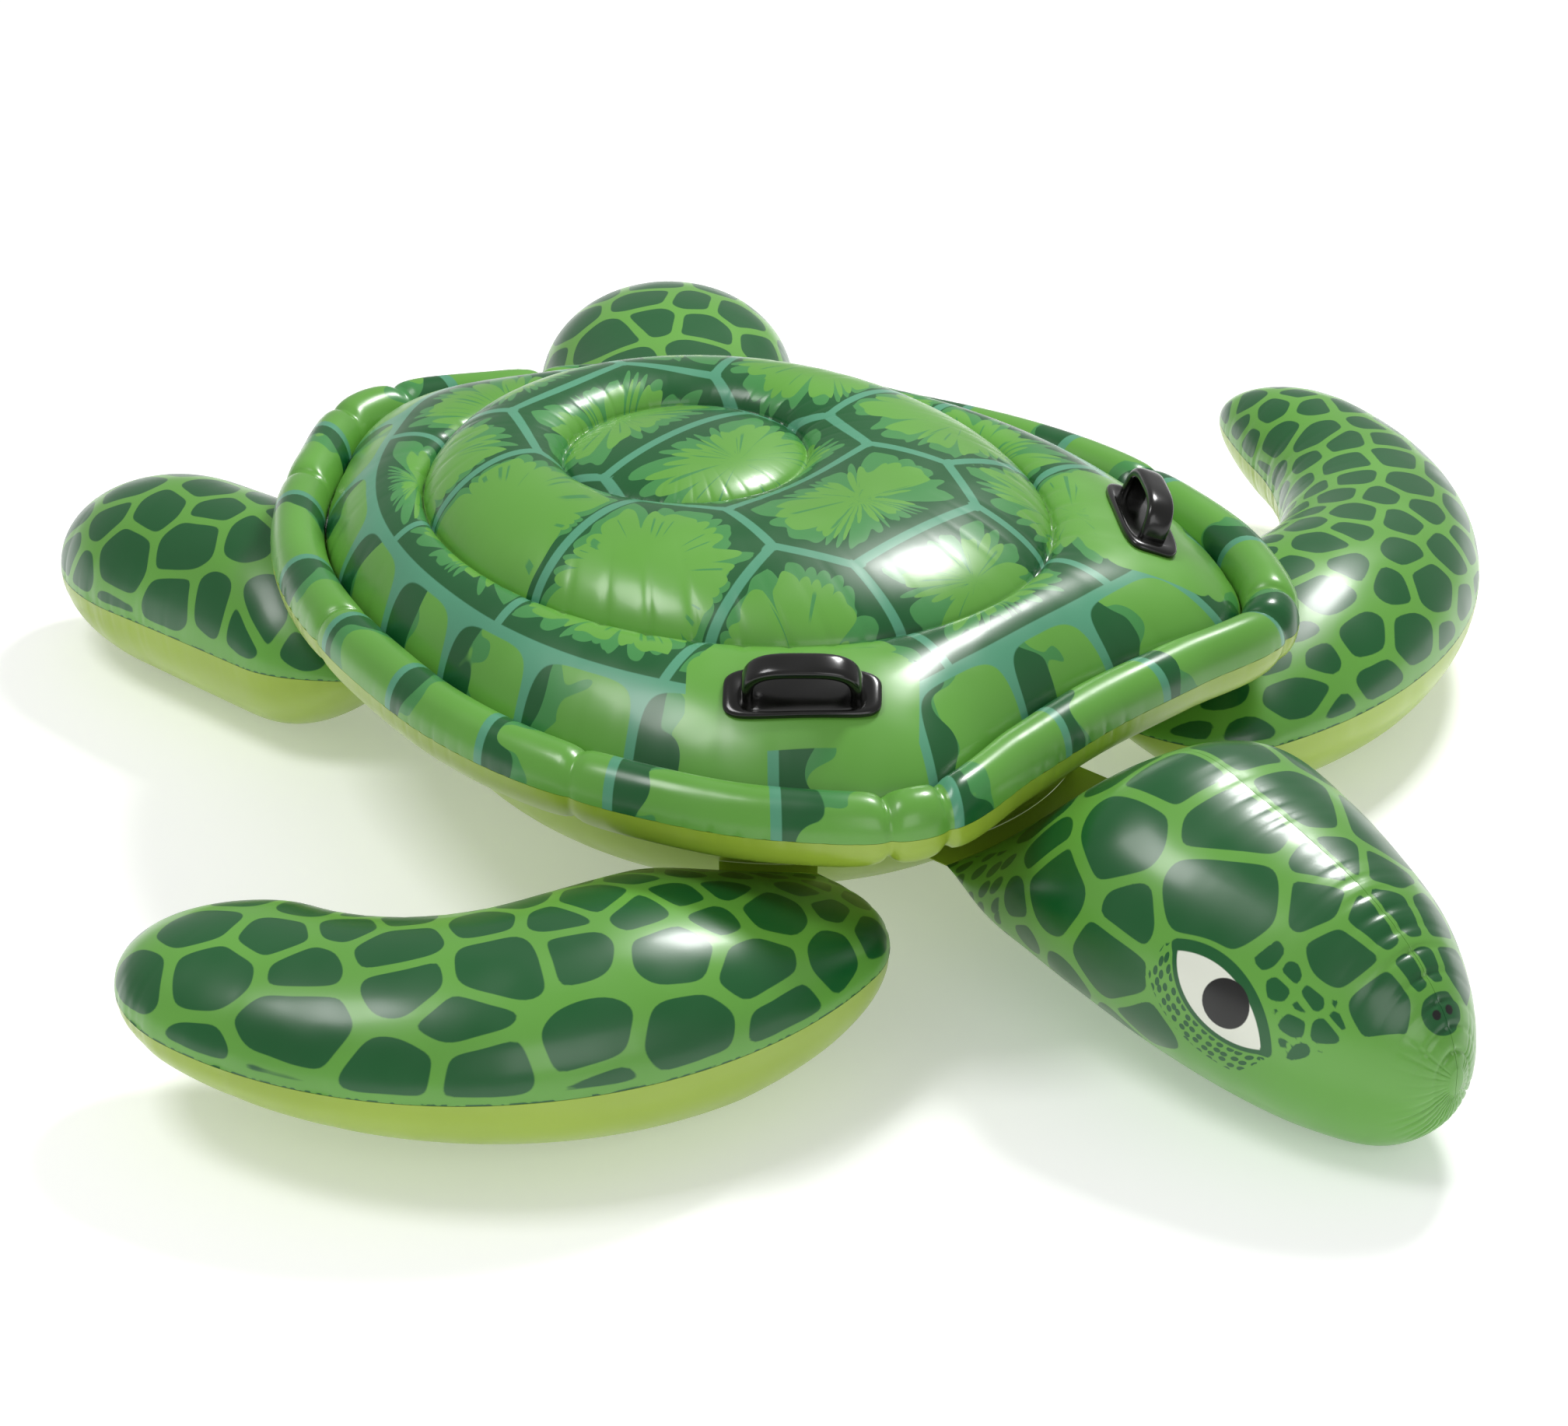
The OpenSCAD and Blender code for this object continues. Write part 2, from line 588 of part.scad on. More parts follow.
// Widths by which the skin's hole, the stem's lip and collar, and the flap go past what they fit
hole_margin = 1.7;
lip_margin = 2.5;
collar_margin = 1.2;
flap_margin = 2;
peg_taper = 1;
skin_hole_r = stem_r + hole_margin;
lip_r = stem_r + lip_margin;
lip_z = seam_gap + flange_t + valve_clear;
collar_r = stem_r + collar_margin;
collar_t = 1;
cap_z = stem_proud + valve_clear;
peg_r = stem_bore_r - peg_clear;
peg_tip_r = peg_r - peg_taper;
strap_w = 4;
strap_t = 1;
flap_r = stem_bore_r + flap_margin;
flap_t = 0.5;
flap_z = -stem_l - valve_clear;
module shell_valve_place() {
    translate([0, rear_edge - shell_valve_inset, bottom_z - seam_gap]) rotate([180, 0, 0]) children();
}
module belly_valve_place() {
    p = bowl_at(90, belly_valve_slope);
    tilt = atan2(sin(belly_valve_slope) / bowl_depth, cos(belly_valve_slope) / belly_r(90));
    translate(p) rotate([-90 - tilt, 0, 0]) children();
}
module valve_flange() {
    color(lime)
    translate([0, 0, seam_gap])
    difference() {
        cylinder(r = flange_r, h = flange_t);
        translate([0, 0, -flange_t]) cylinder(r = stem_r + stem_clear, h = 3 * flange_t);
    }
}
module valve_stem() {
    color(lime)
    rotate_extrude()
    polygon([[stem_bore_r, -stem_l], [collar_r, -stem_l], [collar_r, collar_t - stem_l],
        [stem_r, collar_t - stem_l], [stem_r, lip_z], [lip_r, lip_z], [lip_r, stem_proud],
        [stem_bore_r, stem_proud]]);
}
module valve_flap() {
    color(clear_vinyl) translate([0, 0, flap_z - flap_t]) cylinder(r = flap_r, h = flap_t);
}
module valve_plug() {
    color(lime) {
        rotate_extrude()
        polygon([[0, cap_z - peg_l], [peg_tip_r, cap_z - peg_l], [peg_r, cap_z], [cap_r, cap_z],
            [cap_r, cap_z + cap_t], [0, cap_z + cap_t]]);
        translate([-lip_r, -strap_w / 2, cap_z]) cube([lip_r - cap_r / 2, strap_w, strap_t]);
    }
}
module shell_valve_flange() { shell_valve_place() valve_flange(); }
module shell_valve_stem() { shell_valve_place() valve_stem(); }
module shell_valve_flap() { shell_valve_place() valve_flap(); }
module shell_valve_plug() { shell_valve_place() valve_plug(); }
module belly_valve_flange() { belly_valve_place() valve_flange(); }
module belly_valve_stem() { belly_valve_place() valve_stem(); }
module belly_valve_flap() { belly_valve_place() valve_flap(); }
module belly_valve_plug() { belly_valve_place() valve_plug(); }

shell_top_panel();
shell_bottom_panel();
rim_top_strip();
rim_bottom_strip();
dome_web();
island_web();
belly_panel();
belly_floor();
front_right_tab();
front_left_tab();
rear_right_tab();
rear_left_tab();
neck_tab();
front_right_top();
front_right_bottom();
front_left_top();
front_left_bottom();
rear_right_top();
rear_right_bottom();
rear_left_top();
rear_left_bottom();
head_left_panel();
head_right_panel();
handle_left();
handle_right();
shell_valve_flange();
shell_valve_stem();
shell_valve_flap();
shell_valve_plug();
belly_valve_flange();
belly_valve_stem();
belly_valve_flap();
belly_valve_plug();
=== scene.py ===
import logging
import math
from dataclasses import dataclass, field
from enum import Enum

import bpy
import numpy as np
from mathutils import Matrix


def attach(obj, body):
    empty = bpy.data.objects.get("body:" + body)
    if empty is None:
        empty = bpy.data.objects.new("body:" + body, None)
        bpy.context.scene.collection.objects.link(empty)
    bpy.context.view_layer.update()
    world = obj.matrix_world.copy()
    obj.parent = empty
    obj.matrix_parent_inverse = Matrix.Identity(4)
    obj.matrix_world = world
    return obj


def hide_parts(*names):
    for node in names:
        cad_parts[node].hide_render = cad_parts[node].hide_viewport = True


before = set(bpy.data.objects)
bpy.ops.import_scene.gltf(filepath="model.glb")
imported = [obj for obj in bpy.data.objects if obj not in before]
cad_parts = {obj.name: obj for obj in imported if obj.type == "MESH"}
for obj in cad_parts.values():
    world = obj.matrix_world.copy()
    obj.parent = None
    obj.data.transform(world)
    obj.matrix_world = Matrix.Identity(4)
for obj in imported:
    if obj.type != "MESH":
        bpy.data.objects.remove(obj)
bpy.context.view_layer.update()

LOG = logging.getLogger("turtle_float")
MM = 0.001
# A distance in millimetres that no pucker and no printed line reaches
FAR = 200.0
# Guards against a division by 0 and the log of 0, and the exponents beyond which exp changes nothing
TINY = 1e-9
LEAST_SUM = 1e-20
EXPONENTS = (-40, 60)
# Two cell points nearer than this share of the largest cell make one cell
SAME_CELL = 0.04


class Tint(Enum):
    """The printing inks and plain vinyls, as sRGB values from 0 to 255."""

    LIGHT = (96, 158, 60)
    MID = (64, 136, 70)
    DARK = (12, 86, 37)
    TEAL = (80, 149, 116)
    LIME = (149, 176, 54)
    WHITE = (226, 229, 216)
    BLACK = (9, 9, 7)
    CLEAR = (218, 228, 214)
    FLOOR = (250, 250, 250)

    def linear(self) -> tuple[float, float, float, float]:
        """Works out the tint for the shaders, by the sRGB curve.

        Returns:
            Linear red, green, blue and alpha.
        """
        share = np.array(self.value) / 255.0
        value = np.where(share <= 0.04045, share / 12.92, ((share + 0.055) / 1.055) ** 2.4)
        return (*value.tolist(), 1.0)


class Half(Enum):
    """The upper and the lower skin of a tube or a flipper."""

    TOP = 1
    BOTTOM = -1


class Side(Enum):
    """The turtle's left, which lies towards +X, and its right."""

    LEFT = 1
    RIGHT = -1


class Valve(Enum):
    """The two inflation valves, by the chamber that each one fills."""

    SHELL = "shell"
    BELLY = "belly"


def mix(a: np.ndarray, b: np.ndarray, share: np.ndarray) -> np.ndarray:
    """Returns the value that lies a share of the way from a to b."""
    return a + (b - a) * share


def grows(x: np.ndarray, start: float, over: float) -> np.ndarray:
    """Returns a share that grows from 0 at a start to 1 at a distance from it."""
    return np.clip((x - start) / over, 0, 1)


def lift(plan: np.ndarray, z: np.ndarray) -> np.ndarray:
    """Returns points in space from points in plan and their heights."""
    return np.concatenate([plan, z[..., None]], -1)


def heading_ray(u: np.ndarray) -> np.ndarray:
    """Returns unit vectors in plan at angles u, in degrees from +X."""
    return np.stack([np.cos(np.radians(u)), np.sin(np.radians(u))], -1)


def eased(count: int) -> np.ndarray:
    """Returns shares from 0 up to 1 that lie closer at both ends, x - 0.1 sin(2 pi x), without the last."""
    x = np.linspace(0, 1, count)
    return (x - 0.1 * np.sin(2 * np.pi * x))[:-1]


def row_run(points: np.ndarray) -> np.ndarray:
    """Returns the distance along each row of a grid from the row's first point."""
    step = np.linalg.norm(np.diff(points, axis=1), axis=-1)
    return np.concatenate([np.zeros((len(points), 1)), np.cumsum(step, 1)], 1)


def spline(values: np.ndarray, place: np.ndarray, closed: bool = False) -> np.ndarray:
    """Catmull-Rom curve: each span is the cubic through its two ends with the slopes of their neighbours.

    Args:
        values: rows of numbers that the curve passes through.
        place: position along the rows, 0 at the first.
        closed: whether the last row joins the first.

    Returns:
        One row of numbers for every place.
    """
    count = len(values)
    i = np.floor(place).astype(int)
    i = i if closed else np.clip(i, 0, count - 2)
    near = i[..., None] + np.arange(-1, 3)
    near = near % count if closed else np.clip(near, 0, count - 1)
    a, b, c, d = (values[near[..., k]] for k in range(4))
    f = (place - i)[..., None]
    return 0.5 * (2 * b + (c - a) * f + (2 * a - 5 * b + 4 * c - d) * f**2 + (3 * b - a - 3 * c + d) * f**3)


def grid_normals(points: np.ndarray, wrap: bool) -> np.ndarray:
    """Unit normals of a grid: the cross product of its central differences along rows and columns.

    Args:
        points: grid of points, rows by columns by 3.
        wrap: whether the last column joins the first.

    Returns:
        Grid of unit vectors, on the side of the cross product.
    """
    if wrap:
        along = np.roll(points, -1, axis=1) - np.roll(points, 1, axis=1)
    else:
        along = np.gradient(points, axis=1)
    n = np.cross(np.gradient(points, axis=0), along)
    return n / np.maximum(np.linalg.norm(n, axis=-1, keepdims=True), TINY)


def soft_min(corner: np.ndarray, *values: np.ndarray) -> np.ndarray:
    """Returns a rounded minimum: minus corner times the log of the sum of exp(-value / corner)."""
    total = sum(np.exp(-np.clip(v / corner, *EXPONENTS)) for v in values)
    return -corner * np.log(np.maximum(total, LEAST_SUM))


def nearest_cells(
    points: np.ndarray, centre: np.ndarray, size: np.ndarray | float
) -> tuple[np.ndarray, np.ndarray, np.ndarray]:
    """The cell that each point lies in, where two cells meet on the weighted bisector of their cell points.

    Args:
        points: grid of points.
        centre: the cell points.
        size: radius of each cell, which pushes its borders towards smaller cells, or 0 for plain bisectors.

    Returns:
        The number of each point's own cell. Then, for every cell point: how much greater the square of its
        distance, less the square of its size, is than the own cell's; and how far it is from the own cell
        point.
    """
    square = np.sum((points[..., None, :] - centre) ** 2, -1) - size**2
    own = np.argmin(square, -1)
    more = square - np.take_along_axis(square, own[..., None], -1)
    return own, more, np.linalg.norm(centre[:, None] - centre[None], axis=-1)[own]


def cell_values(
    points: np.ndarray, centre: np.ndarray, size: np.ndarray, corner: np.ndarray
) -> tuple[np.ndarray, np.ndarray]:
    """Distances inside rounded cells: a soft minimum of the distances to the bisectors of the cell points.

    Args:
        points: grid of points.
        centre: the cell points; two that all but coincide make one cell.
        size: radius of each cell.
        corner: size of the soft minimum in each cell, which rounds its corners.

    Returns:
        The distances from the own cell's border, in the unit of the points, and the own cell's number.
    """
    own, more, apart = nearest_cells(points, centre, size)
    bend = corner[own]
    bisector = more / (2 * np.maximum(apart, TINY))
    share = np.exp(-np.minimum(bisector / bend[..., None], EXPONENTS[1]))
    total = np.sum(np.where(apart > SAME_CELL * size.max(), share, 0), -1)
    return -bend * np.log(np.maximum(total, LEAST_SUM)), own


def new_object(name: str, data: bpy.types.ID) -> bpy.types.Object:
    """Adds an object to the scene.

    Args:
        name: its name.
        data: its mesh, light or camera.

    Returns:
        The object, at the origin.
    """
    obj = bpy.data.objects.new(name, data)
    bpy.context.scene.collection.objects.link(obj)
    return obj


@dataclass(frozen=True)
class Pucker:
    """Puckers along a weld, in millimetres: how deep, how far apart and how far from the weld they reach."""

    depth: float
    pitch: float
    seed: float = 0.0
    reach: float = 1.0

    def valleys(self, s: np.ndarray, away: np.ndarray | float = 0.0, shift: float = 0.0) -> np.ndarray:
        """Depths of narrow valleys (1 - |sin|) cubed, whose pitch and depth drift with slow sines.

        Args:
            s: distances along the weld.
            away: distances from the weld, over which the valleys fade as exp(-away / reach).
            shift: phase that is added to the seed and sets one weld apart from another.

        Returns:
            Depths in millimetres.
        """
        turn, seed = s / self.pitch, self.seed + shift
        phase = turn + 0.35 * np.sin(turn / 3.7 + seed) + 0.22 * np.sin(turn / 1.9 + 2 * seed)
        uneven = 0.55 + 0.45 * np.sin(turn / 2.3 + 3 * seed)
        return self.depth * (1 - np.abs(np.sin(np.pi * phase))) ** 3 * uneven * np.exp(-away / self.reach)


@dataclass
class Patch:
    """A surface on a grid of points in millimetres, made into one mesh in metres.

    The points called inside tell which side of the surface is out. A pole is a row whose points coincide.
    """

    name: str
    points: np.ndarray
    inside: np.ndarray
    wrap: bool = False
    first_pole: bool = False
    last_pole: bool = False
    values: dict[str, np.ndarray] = field(default_factory=dict)
    keep: np.ndarray | None = None

    def press(self, depth: np.ndarray) -> None:
        """Moves every point inwards along the surface's normal.

        Args:
            depth: how far each point moves, in millimetres.
        """
        n = grid_normals(self.points, self.wrap)
        side = np.sign(np.sum(n * (self.points - self.inside)))
        self.points = self.points - depth[..., None] * n * side

    def flat(self, grid: np.ndarray) -> np.ndarray:
        """Lists a grid row after row, with a row that is a pole taken once.

        Args:
            grid: values of the points, rows by columns.

        Returns:
            One value for every point of the mesh.
        """
        low, high = int(self.first_pole), len(grid) - int(self.last_pole)
        first = [grid[0, :1]] if self.first_pole else []
        last = [grid[-1, :1]] if self.last_pole else []
        return np.concatenate([*first, grid[low:high].reshape(-1, *grid.shape[2:]), *last])

    def faces(self) -> list[np.ndarray]:
        """Joins the points: quads between the rows and triangles round the poles.

        Returns:
            Arrays of point numbers, one row for a face.
        """
        m, n = self.points.shape[:2]
        start, body = int(self.first_pole), m - int(self.first_pole) - int(self.last_pole)
        j = np.arange(n if self.wrap else n - 1)
        k = (j + 1) % n
        row = start + np.arange(body - 1)[:, None] * n
        quads = np.stack([row + j, row + k, row + n + k, row + n + j], -1).reshape(-1, 4)
        if self.keep is not None:
            quads = quads[self.keep[: body - 1, : len(j)].ravel()]
        made = [quads]
        if self.first_pole:
            made.append(np.stack([np.zeros_like(j), start + k, start + j], -1))
        if self.last_pole:
            last = start + (body - 1) * n
            made.append(np.stack([last + j, last + k, np.full_like(j, start + body * n)], -1))
        return made

    def outward_faces(self, points: np.ndarray) -> list[list[int]]:
        """Turns the faces outwards, as most of their area lies.

        Args:
            points: the mesh's points.

        Returns:
            Lists of point numbers.
        """
        made = self.faces()
        inner = self.flat(np.broadcast_to(self.inside, self.points.shape))
        corner = np.concatenate([faces[:, :3] for faces in made])
        a, b, c = (points[corner[:, i]] for i in range(3))
        if np.sum(np.cross(b - a, c - a) * (a - inner[corner[:, 0]])) < 0:
            made = [faces[:, ::-1] for faces in made]
        return [face for faces in made for face in faces.tolist()]

    def build(self, gauge: float = 0.0) -> bpy.types.Object:
        """Makes the mesh with the values that its print reads, and gives it its thickness.

        Args:
            gauge: thickness of the sheet in millimetres, or 0 for a form that is closed already.

        Returns:
            The new object, at the origin, with its place in its mesh.
        """
        points = self.flat(self.points)
        mesh = bpy.data.meshes.new(self.name)
        mesh.from_pydata((points * MM).tolist(), [], self.outward_faces(points))
        mesh.update(calc_edges=True)
        mesh.polygons.foreach_set("use_smooth", np.ones(len(mesh.polygons), bool))
        for name, grid in self.values.items():
            flat = self.flat(grid).astype(np.float32)
            kind, key = ("FLOAT_VECTOR", "vector") if flat.ndim == 2 else ("FLOAT", "value")
            mesh.attributes.new(name, kind, "POINT").data.foreach_set(key, flat.ravel())
        self.mark_border(mesh)
        obj = new_object(self.name, mesh)
        if gauge:
            wall = obj.modifiers.new("gauge", "SOLIDIFY")
            wall.thickness, wall.offset = gauge * MM, -1
        return obj

    @staticmethod
    def mark_border(mesh: bpy.types.Mesh) -> None:
        """Marks the open edges sharp, so the sheet's cut edge doesn't bend its shading.

        Args:
            mesh: the mesh.
        """
        edge = np.zeros(len(mesh.loops), np.int32)
        mesh.loops.foreach_get("edge_index", edge)
        border = np.bincount(edge, minlength=len(mesh.edges)) == 1
        mesh.attributes.new("sharp_edge", "BOOLEAN", "EDGE").data.foreach_set("value", border)


class Pen:
    """The node tree of one material, with short calls for the nodes that the finishes use."""

    def __init__(self, name: str) -> None:
        """Starts a material with a principled shader.

        Args:
            name: the material's name.
        """
        self.material = bpy.data.materials.new(name)
        self.material.use_nodes = True
        self.tree = self.material.node_tree
        self.shader = self.tree.nodes["Principled BSDF"]

    def put(self, socket: bpy.types.NodeSocket, value: object) -> None:
        """Links a socket to another, or sets its value.

        Args:
            socket: the input.
            value: an output socket, a tint or a plain value.
        """
        if isinstance(value, bpy.types.NodeSocket):
            self.tree.links.new(value, socket)
        else:
            socket.default_value = value.linear() if isinstance(value, Tint) else value

    def finish(self, **inputs: object) -> None:
        """Sets the shader's inputs, each named with _ for a space."""
        for name, value in inputs.items():
            self.put(self.shader.inputs[name.replace("_", " ")], value)

    def node(self, kind: str, inputs: dict, output: object = 0, **settings: object) -> bpy.types.NodeSocket:
        """Adds a node.

        Args:
            kind: Blender's name for the node type, without its ShaderNode prefix.
            inputs: values or sockets by input name or number.
            output: name or number of the output wanted.
            **settings: the node's own properties.

        Returns:
            The output socket.
        """
        made = self.tree.nodes.new("ShaderNode" + kind)
        for name, value in settings.items():
            setattr(made, name, value)
        for name, value in inputs.items():
            self.put(made.inputs[name], value)
        return made.outputs[output]

    def attribute(self, name: str, output: str = "Fac") -> bpy.types.NodeSocket:
        """Returns a value that the mesh carries."""
        return self.node("Attribute", {}, output, attribute_name=name)

    def place(self) -> bpy.types.NodeSocket:
        """Returns the point on the object, in metres."""
        return self.node("TexCoord", {}, "Object")

    def axes(self, vector: object, names: str) -> list[bpy.types.NodeSocket]:
        """Returns the named parts of a vector."""
        return [self.node("SeparateXYZ", {0: vector}, name) for name in names]

    def math(self, operation: str, a: object, b: object = 0.0, c: object = 0.0) -> bpy.types.NodeSocket:
        """Returns a sum, product or the like of two values, or of three."""
        return self.node("Math", {0: a, 1: b, 2: c}, operation=operation)

    def noise(self, vector: object, scale: float) -> bpy.types.NodeSocket:
        """Returns smooth noise from 0 to 1."""
        return self.node("TexNoise", {"Vector": vector, "Scale": scale, "Detail": 0.0})

    def ramp(
        self, value: object, low: object, high: object, to_low: float = 0.0, to_high: float = 1.0
    ) -> bpy.types.NodeSocket:
        """Returns a smooth step from to_low at low to to_high at high."""
        ends = {"Value": value, "From Min": low, "From Max": high, "To Min": to_low, "To Max": to_high}
        return self.node("MapRange", ends, interpolation_type="SMOOTHSTEP")

    def wobble(self, scale: float, size: float) -> bpy.types.NodeSocket:
        """Returns noise over the object, from 0 to a size."""
        return self.math("MULTIPLY", self.noise(self.place(), scale), size)

    def past(self, value: object, limit: object, soft: float = 0.0005) -> bpy.types.NodeSocket:
        """Returns 1 where a value is past a limit and 0 before it, with a soft printed edge."""
        return self.ramp(self.math("SUBTRACT", value, limit), -soft, soft)

    def over(self, share: object, below: object, above: object) -> bpy.types.NodeSocket:
        """Returns the colour above printed over the colour below by a share."""
        return self.node("Mix", {0: share, 6: below, 7: above}, 2, data_type="RGBA")


@dataclass(frozen=True)
class Blotches:
    """Soft noise that grows from 0 at a low level to a size at a high one."""

    scale: float
    low: float
    high: float
    size: float

    def over(self, pen: Pen, vector: object) -> bpy.types.NodeSocket:
        """Returns the noise over a vector."""
        return pen.ramp(pen.noise(vector, self.scale), self.low, self.high, 0.0, self.size)


@dataclass(frozen=True)
class VinylFinish:
    """Satin vinyl: a broad soft gloss under a thin sharper one, with a slow wave in the sheet."""

    name: str
    roughness: float = 0.33
    spread: float = 0.045
    spread_scale: float = 37.0
    spread_ends: tuple[float, float] = (0.25, 0.75)
    gloss: float = 0.5
    coat: float = 0.22
    coat_roughness: float = 0.17
    shade: float = 0.05
    shade_ends: tuple[float, float] = (0.3, 0.7)
    wave: float = 0.10
    wave_height: float = 0.004
    wave_scale: float = 9.0

    def dress(self, pen: Pen, colour: object) -> bpy.types.Material:
        """Finishes a material.

        Args:
            pen: the material's node tree.
            colour: a tint, or the socket of a print.

        Returns:
            The material.
        """
        place = pen.place()
        slow, fast = pen.noise(place, self.wave_scale), pen.noise(place, self.spread_scale)
        ink = colour.linear()[:3] if isinstance(colour, Tint) else colour
        shade = pen.ramp(slow, *self.shade_ends, 1 - self.shade, 1 + self.shade)
        rough = pen.ramp(fast, *self.spread_ends, self.roughness - self.spread, self.roughness + self.spread)
        wave = {"Strength": self.wave, "Distance": self.wave_height, "Height": slow}
        pen.finish(
            Base_Color=pen.node("VectorMath", {0: ink, "Scale": shade}, operation="SCALE"),
            Roughness=rough,
            Specular_IOR_Level=self.gloss,
            Coat_Weight=self.coat,
            Coat_Roughness=self.coat_roughness,
            Normal=pen.node("Bump", wave, "Normal"),
        )
        return pen.material

    def plain(self, tint: Tint) -> bpy.types.Material:
        """Returns the material for unprinted vinyl of one tint."""
        return self.dress(Pen(self.name), tint)


@dataclass(frozen=True)
class ShellPrint:
    """Scutes: light fields with rounded lobes on dark margins, parted by teal lines, in metres."""

    name: str = "shell_print"
    line: float = 0.0038
    corner: float = 0.035
    # Lobes of the light fields: how many round a scute, scale and size of their drift, how far in they start
    # and how deep they are
    lobes: int = 17
    lobe_drift: tuple[float, float] = (2.2, 13.0)
    lobe_round: float = 0.65
    margin: float = 0.023
    lobe: float = 0.007
    lobe_more: Blotches = Blotches(3.6, 0.35, 0.65, 0.030)
    # Middle green: how far outside the light field its lobes reach, and by how much they are turned
    shade: float = 0.010
    shade_turn: float = 1.1
    # Strokes of middle green: scale, level and softness of their noise, where they start and end in a field
    stroke: tuple[float, float, float] = (15.0, 0.69, 0.012)
    stroke_start: tuple[float, float] = (0.009, 0.014)
    stroke_end: tuple[float, float] = (0.026, 0.034)
    # Dark band of a marginal scute: its least width, and how far it and the middle green bulge
    band: float = 0.012
    bulge: Blotches = Blotches(22.0, 0.25, 0.75, 0.026)
    bulge_more: Blotches = Blotches(31.0, 0.4, 0.7, 0.0182)

    def lobe_line(self, pen: Pen, away: object, angle: object, turn: float) -> bpy.types.NodeSocket:
        """How far in a field starts: a row of arches |sin| round the scute, of uneven width and depth.

        Args:
            pen: the material's node tree.
            away: direction from the scute's centre, with the scute's number.
            angle: the direction's angle.
            turn: phase by which the arches are turned.

        Returns:
            The distance from the scute's border.
        """
        scale, size = self.lobe_drift
        drift = pen.math("MULTIPLY_ADD", pen.noise(away, scale), size, turn)
        phase = pen.math("MULTIPLY_ADD", angle, self.lobes / 2, drift)
        arch = pen.math("POWER", pen.math("ABSOLUTE", pen.math("SINE", phase)), self.lobe_round)
        deep = pen.math("ADD", self.lobe_more.over(pen, away), self.lobe)
        return pen.math("MULTIPLY_ADD", pen.math("SUBTRACT", 1.0, arch), deep, self.margin)

    def layers(self, pen: Pen, depth: object, shade: object, limit: object) -> bpy.types.NodeSocket:
        """Returns dark ink before the shade's limit, middle green up to the limit and light ink past it."""
        under = pen.over(pen.past(depth, pen.math("MINIMUM", shade, limit)), Tint.DARK, Tint.MID)
        return pen.over(pen.past(depth, limit), under, Tint.LIGHT)

    def fields(self, pen: Pen) -> bpy.types.NodeSocket:
        """Prints the back's scutes, with a few strokes of middle green in the light fields.

        Args:
            pen: the material's node tree.

        Returns:
            The colour.
        """
        away, depth = pen.attribute("away", "Vector"), pen.attribute("depth")
        x, y = pen.axes(away, "XY")
        angle = pen.math("ARCTAN2", y, x)
        limit = self.lobe_line(pen, away, angle, 0.0)
        shade = pen.math("SUBTRACT", self.lobe_line(pen, away, angle, self.shade_turn), self.shade)
        into = pen.math("SUBTRACT", depth, limit)
        scale, level, soft = self.stroke
        thin = pen.past(pen.noise(away, scale), level, soft)
        start, end = pen.ramp(into, *self.stroke_start), pen.ramp(into, *self.stroke_end, 1.0, 0.0)
        stroke = pen.math("MULTIPLY", thin, pen.math("MULTIPLY", start, end))
        return pen.over(stroke, self.layers(pen, depth, shade, limit), Tint.MID)

    def border(self, pen: Pen) -> bpy.types.NodeSocket:
        """Prints the marginal scutes and the rim: a wavy dark band on one side of each.

        Args:
            pen: the material's node tree.

        Returns:
            The colour.
        """
        place = pen.place()
        limit = pen.math("ADD", self.bulge.over(pen, place), self.band)
        more = pen.math("ADD", self.bulge_more.over(pen, place), limit)
        return self.layers(pen, pen.attribute("behind"), limit, more)

    def lines(self, pen: Pen) -> bpy.types.NodeSocket:
        """Distance from the nearest line: between marginal scutes outside the ring's line, or rivals inside.

        Args:
            pen: the material's node tree.

        Returns:
            The distance. Of the three rival values, the smallest two differ by it.
        """
        ring = pen.attribute("ring")
        side = pen.math("ABSOLUTE", pen.attribute("side"))
        outer = pen.math("SMOOTH_MIN", side, pen.math("MULTIPLY", ring, -1.0), self.corner)
        a, b, c = pen.axes(pen.attribute("rival", "Vector"), "XYZ")
        low, high = (pen.math(kind, pen.math(kind, a, b), c) for kind in ("MINIMUM", "MAXIMUM"))
        total = pen.math("ADD", pen.math("ADD", a, b), c)
        second = pen.math("SUBTRACT", total, pen.math("ADD", low, high))
        inner = pen.math("MINIMUM", pen.math("SUBTRACT", second, low), ring)
        return pen.math("MAXIMUM", outer, inner)

    def material(self) -> bpy.types.Material:
        """Prints the shell, from the distances that its meshes carry, bare round the handles.

        Returns:
            The material.
        """
        pen = Pen(self.name)
        inks = pen.over(pen.past(pen.attribute("ring"), 0.0), self.border(pen), self.fields(pen))
        inks = pen.over(pen.past(self.lines(pen), self.line), Tint.TEAL, inks)
        inks = pen.over(pen.past(pen.attribute("plain"), 0.0), Tint.LIGHT, inks)
        return VinylFinish(self.name).dress(pen, inks)


@dataclass(frozen=True)
class ScalePrint:
    """Rounded dark scales on light green, with a dotted weld line along the seam, in metres."""

    name: str = "flipper_print"
    # Scale and size by which the scales' borders wobble, and the dots of the weld line
    wobble: tuple[float, float] = (45.0, 0.0016)
    weld: Blotches = Blotches(190.0, 0.4, 0.6, 0.0011)

    def material(self) -> bpy.types.Material:
        """Prints the flippers, from the distances that their skins carry.

        Returns:
            The material.
        """
        pen = Pen(self.name)
        scales = pen.past(pen.attribute("scale"), pen.wobble(*self.wobble))
        clear = pen.past(pen.attribute("seam"), self.weld.over(pen, pen.place()))
        inks = pen.over(clear, Tint.DARK, pen.over(scales, Tint.LIGHT, Tint.DARK))
        return VinylFinish(self.name).dress(pen, inks)


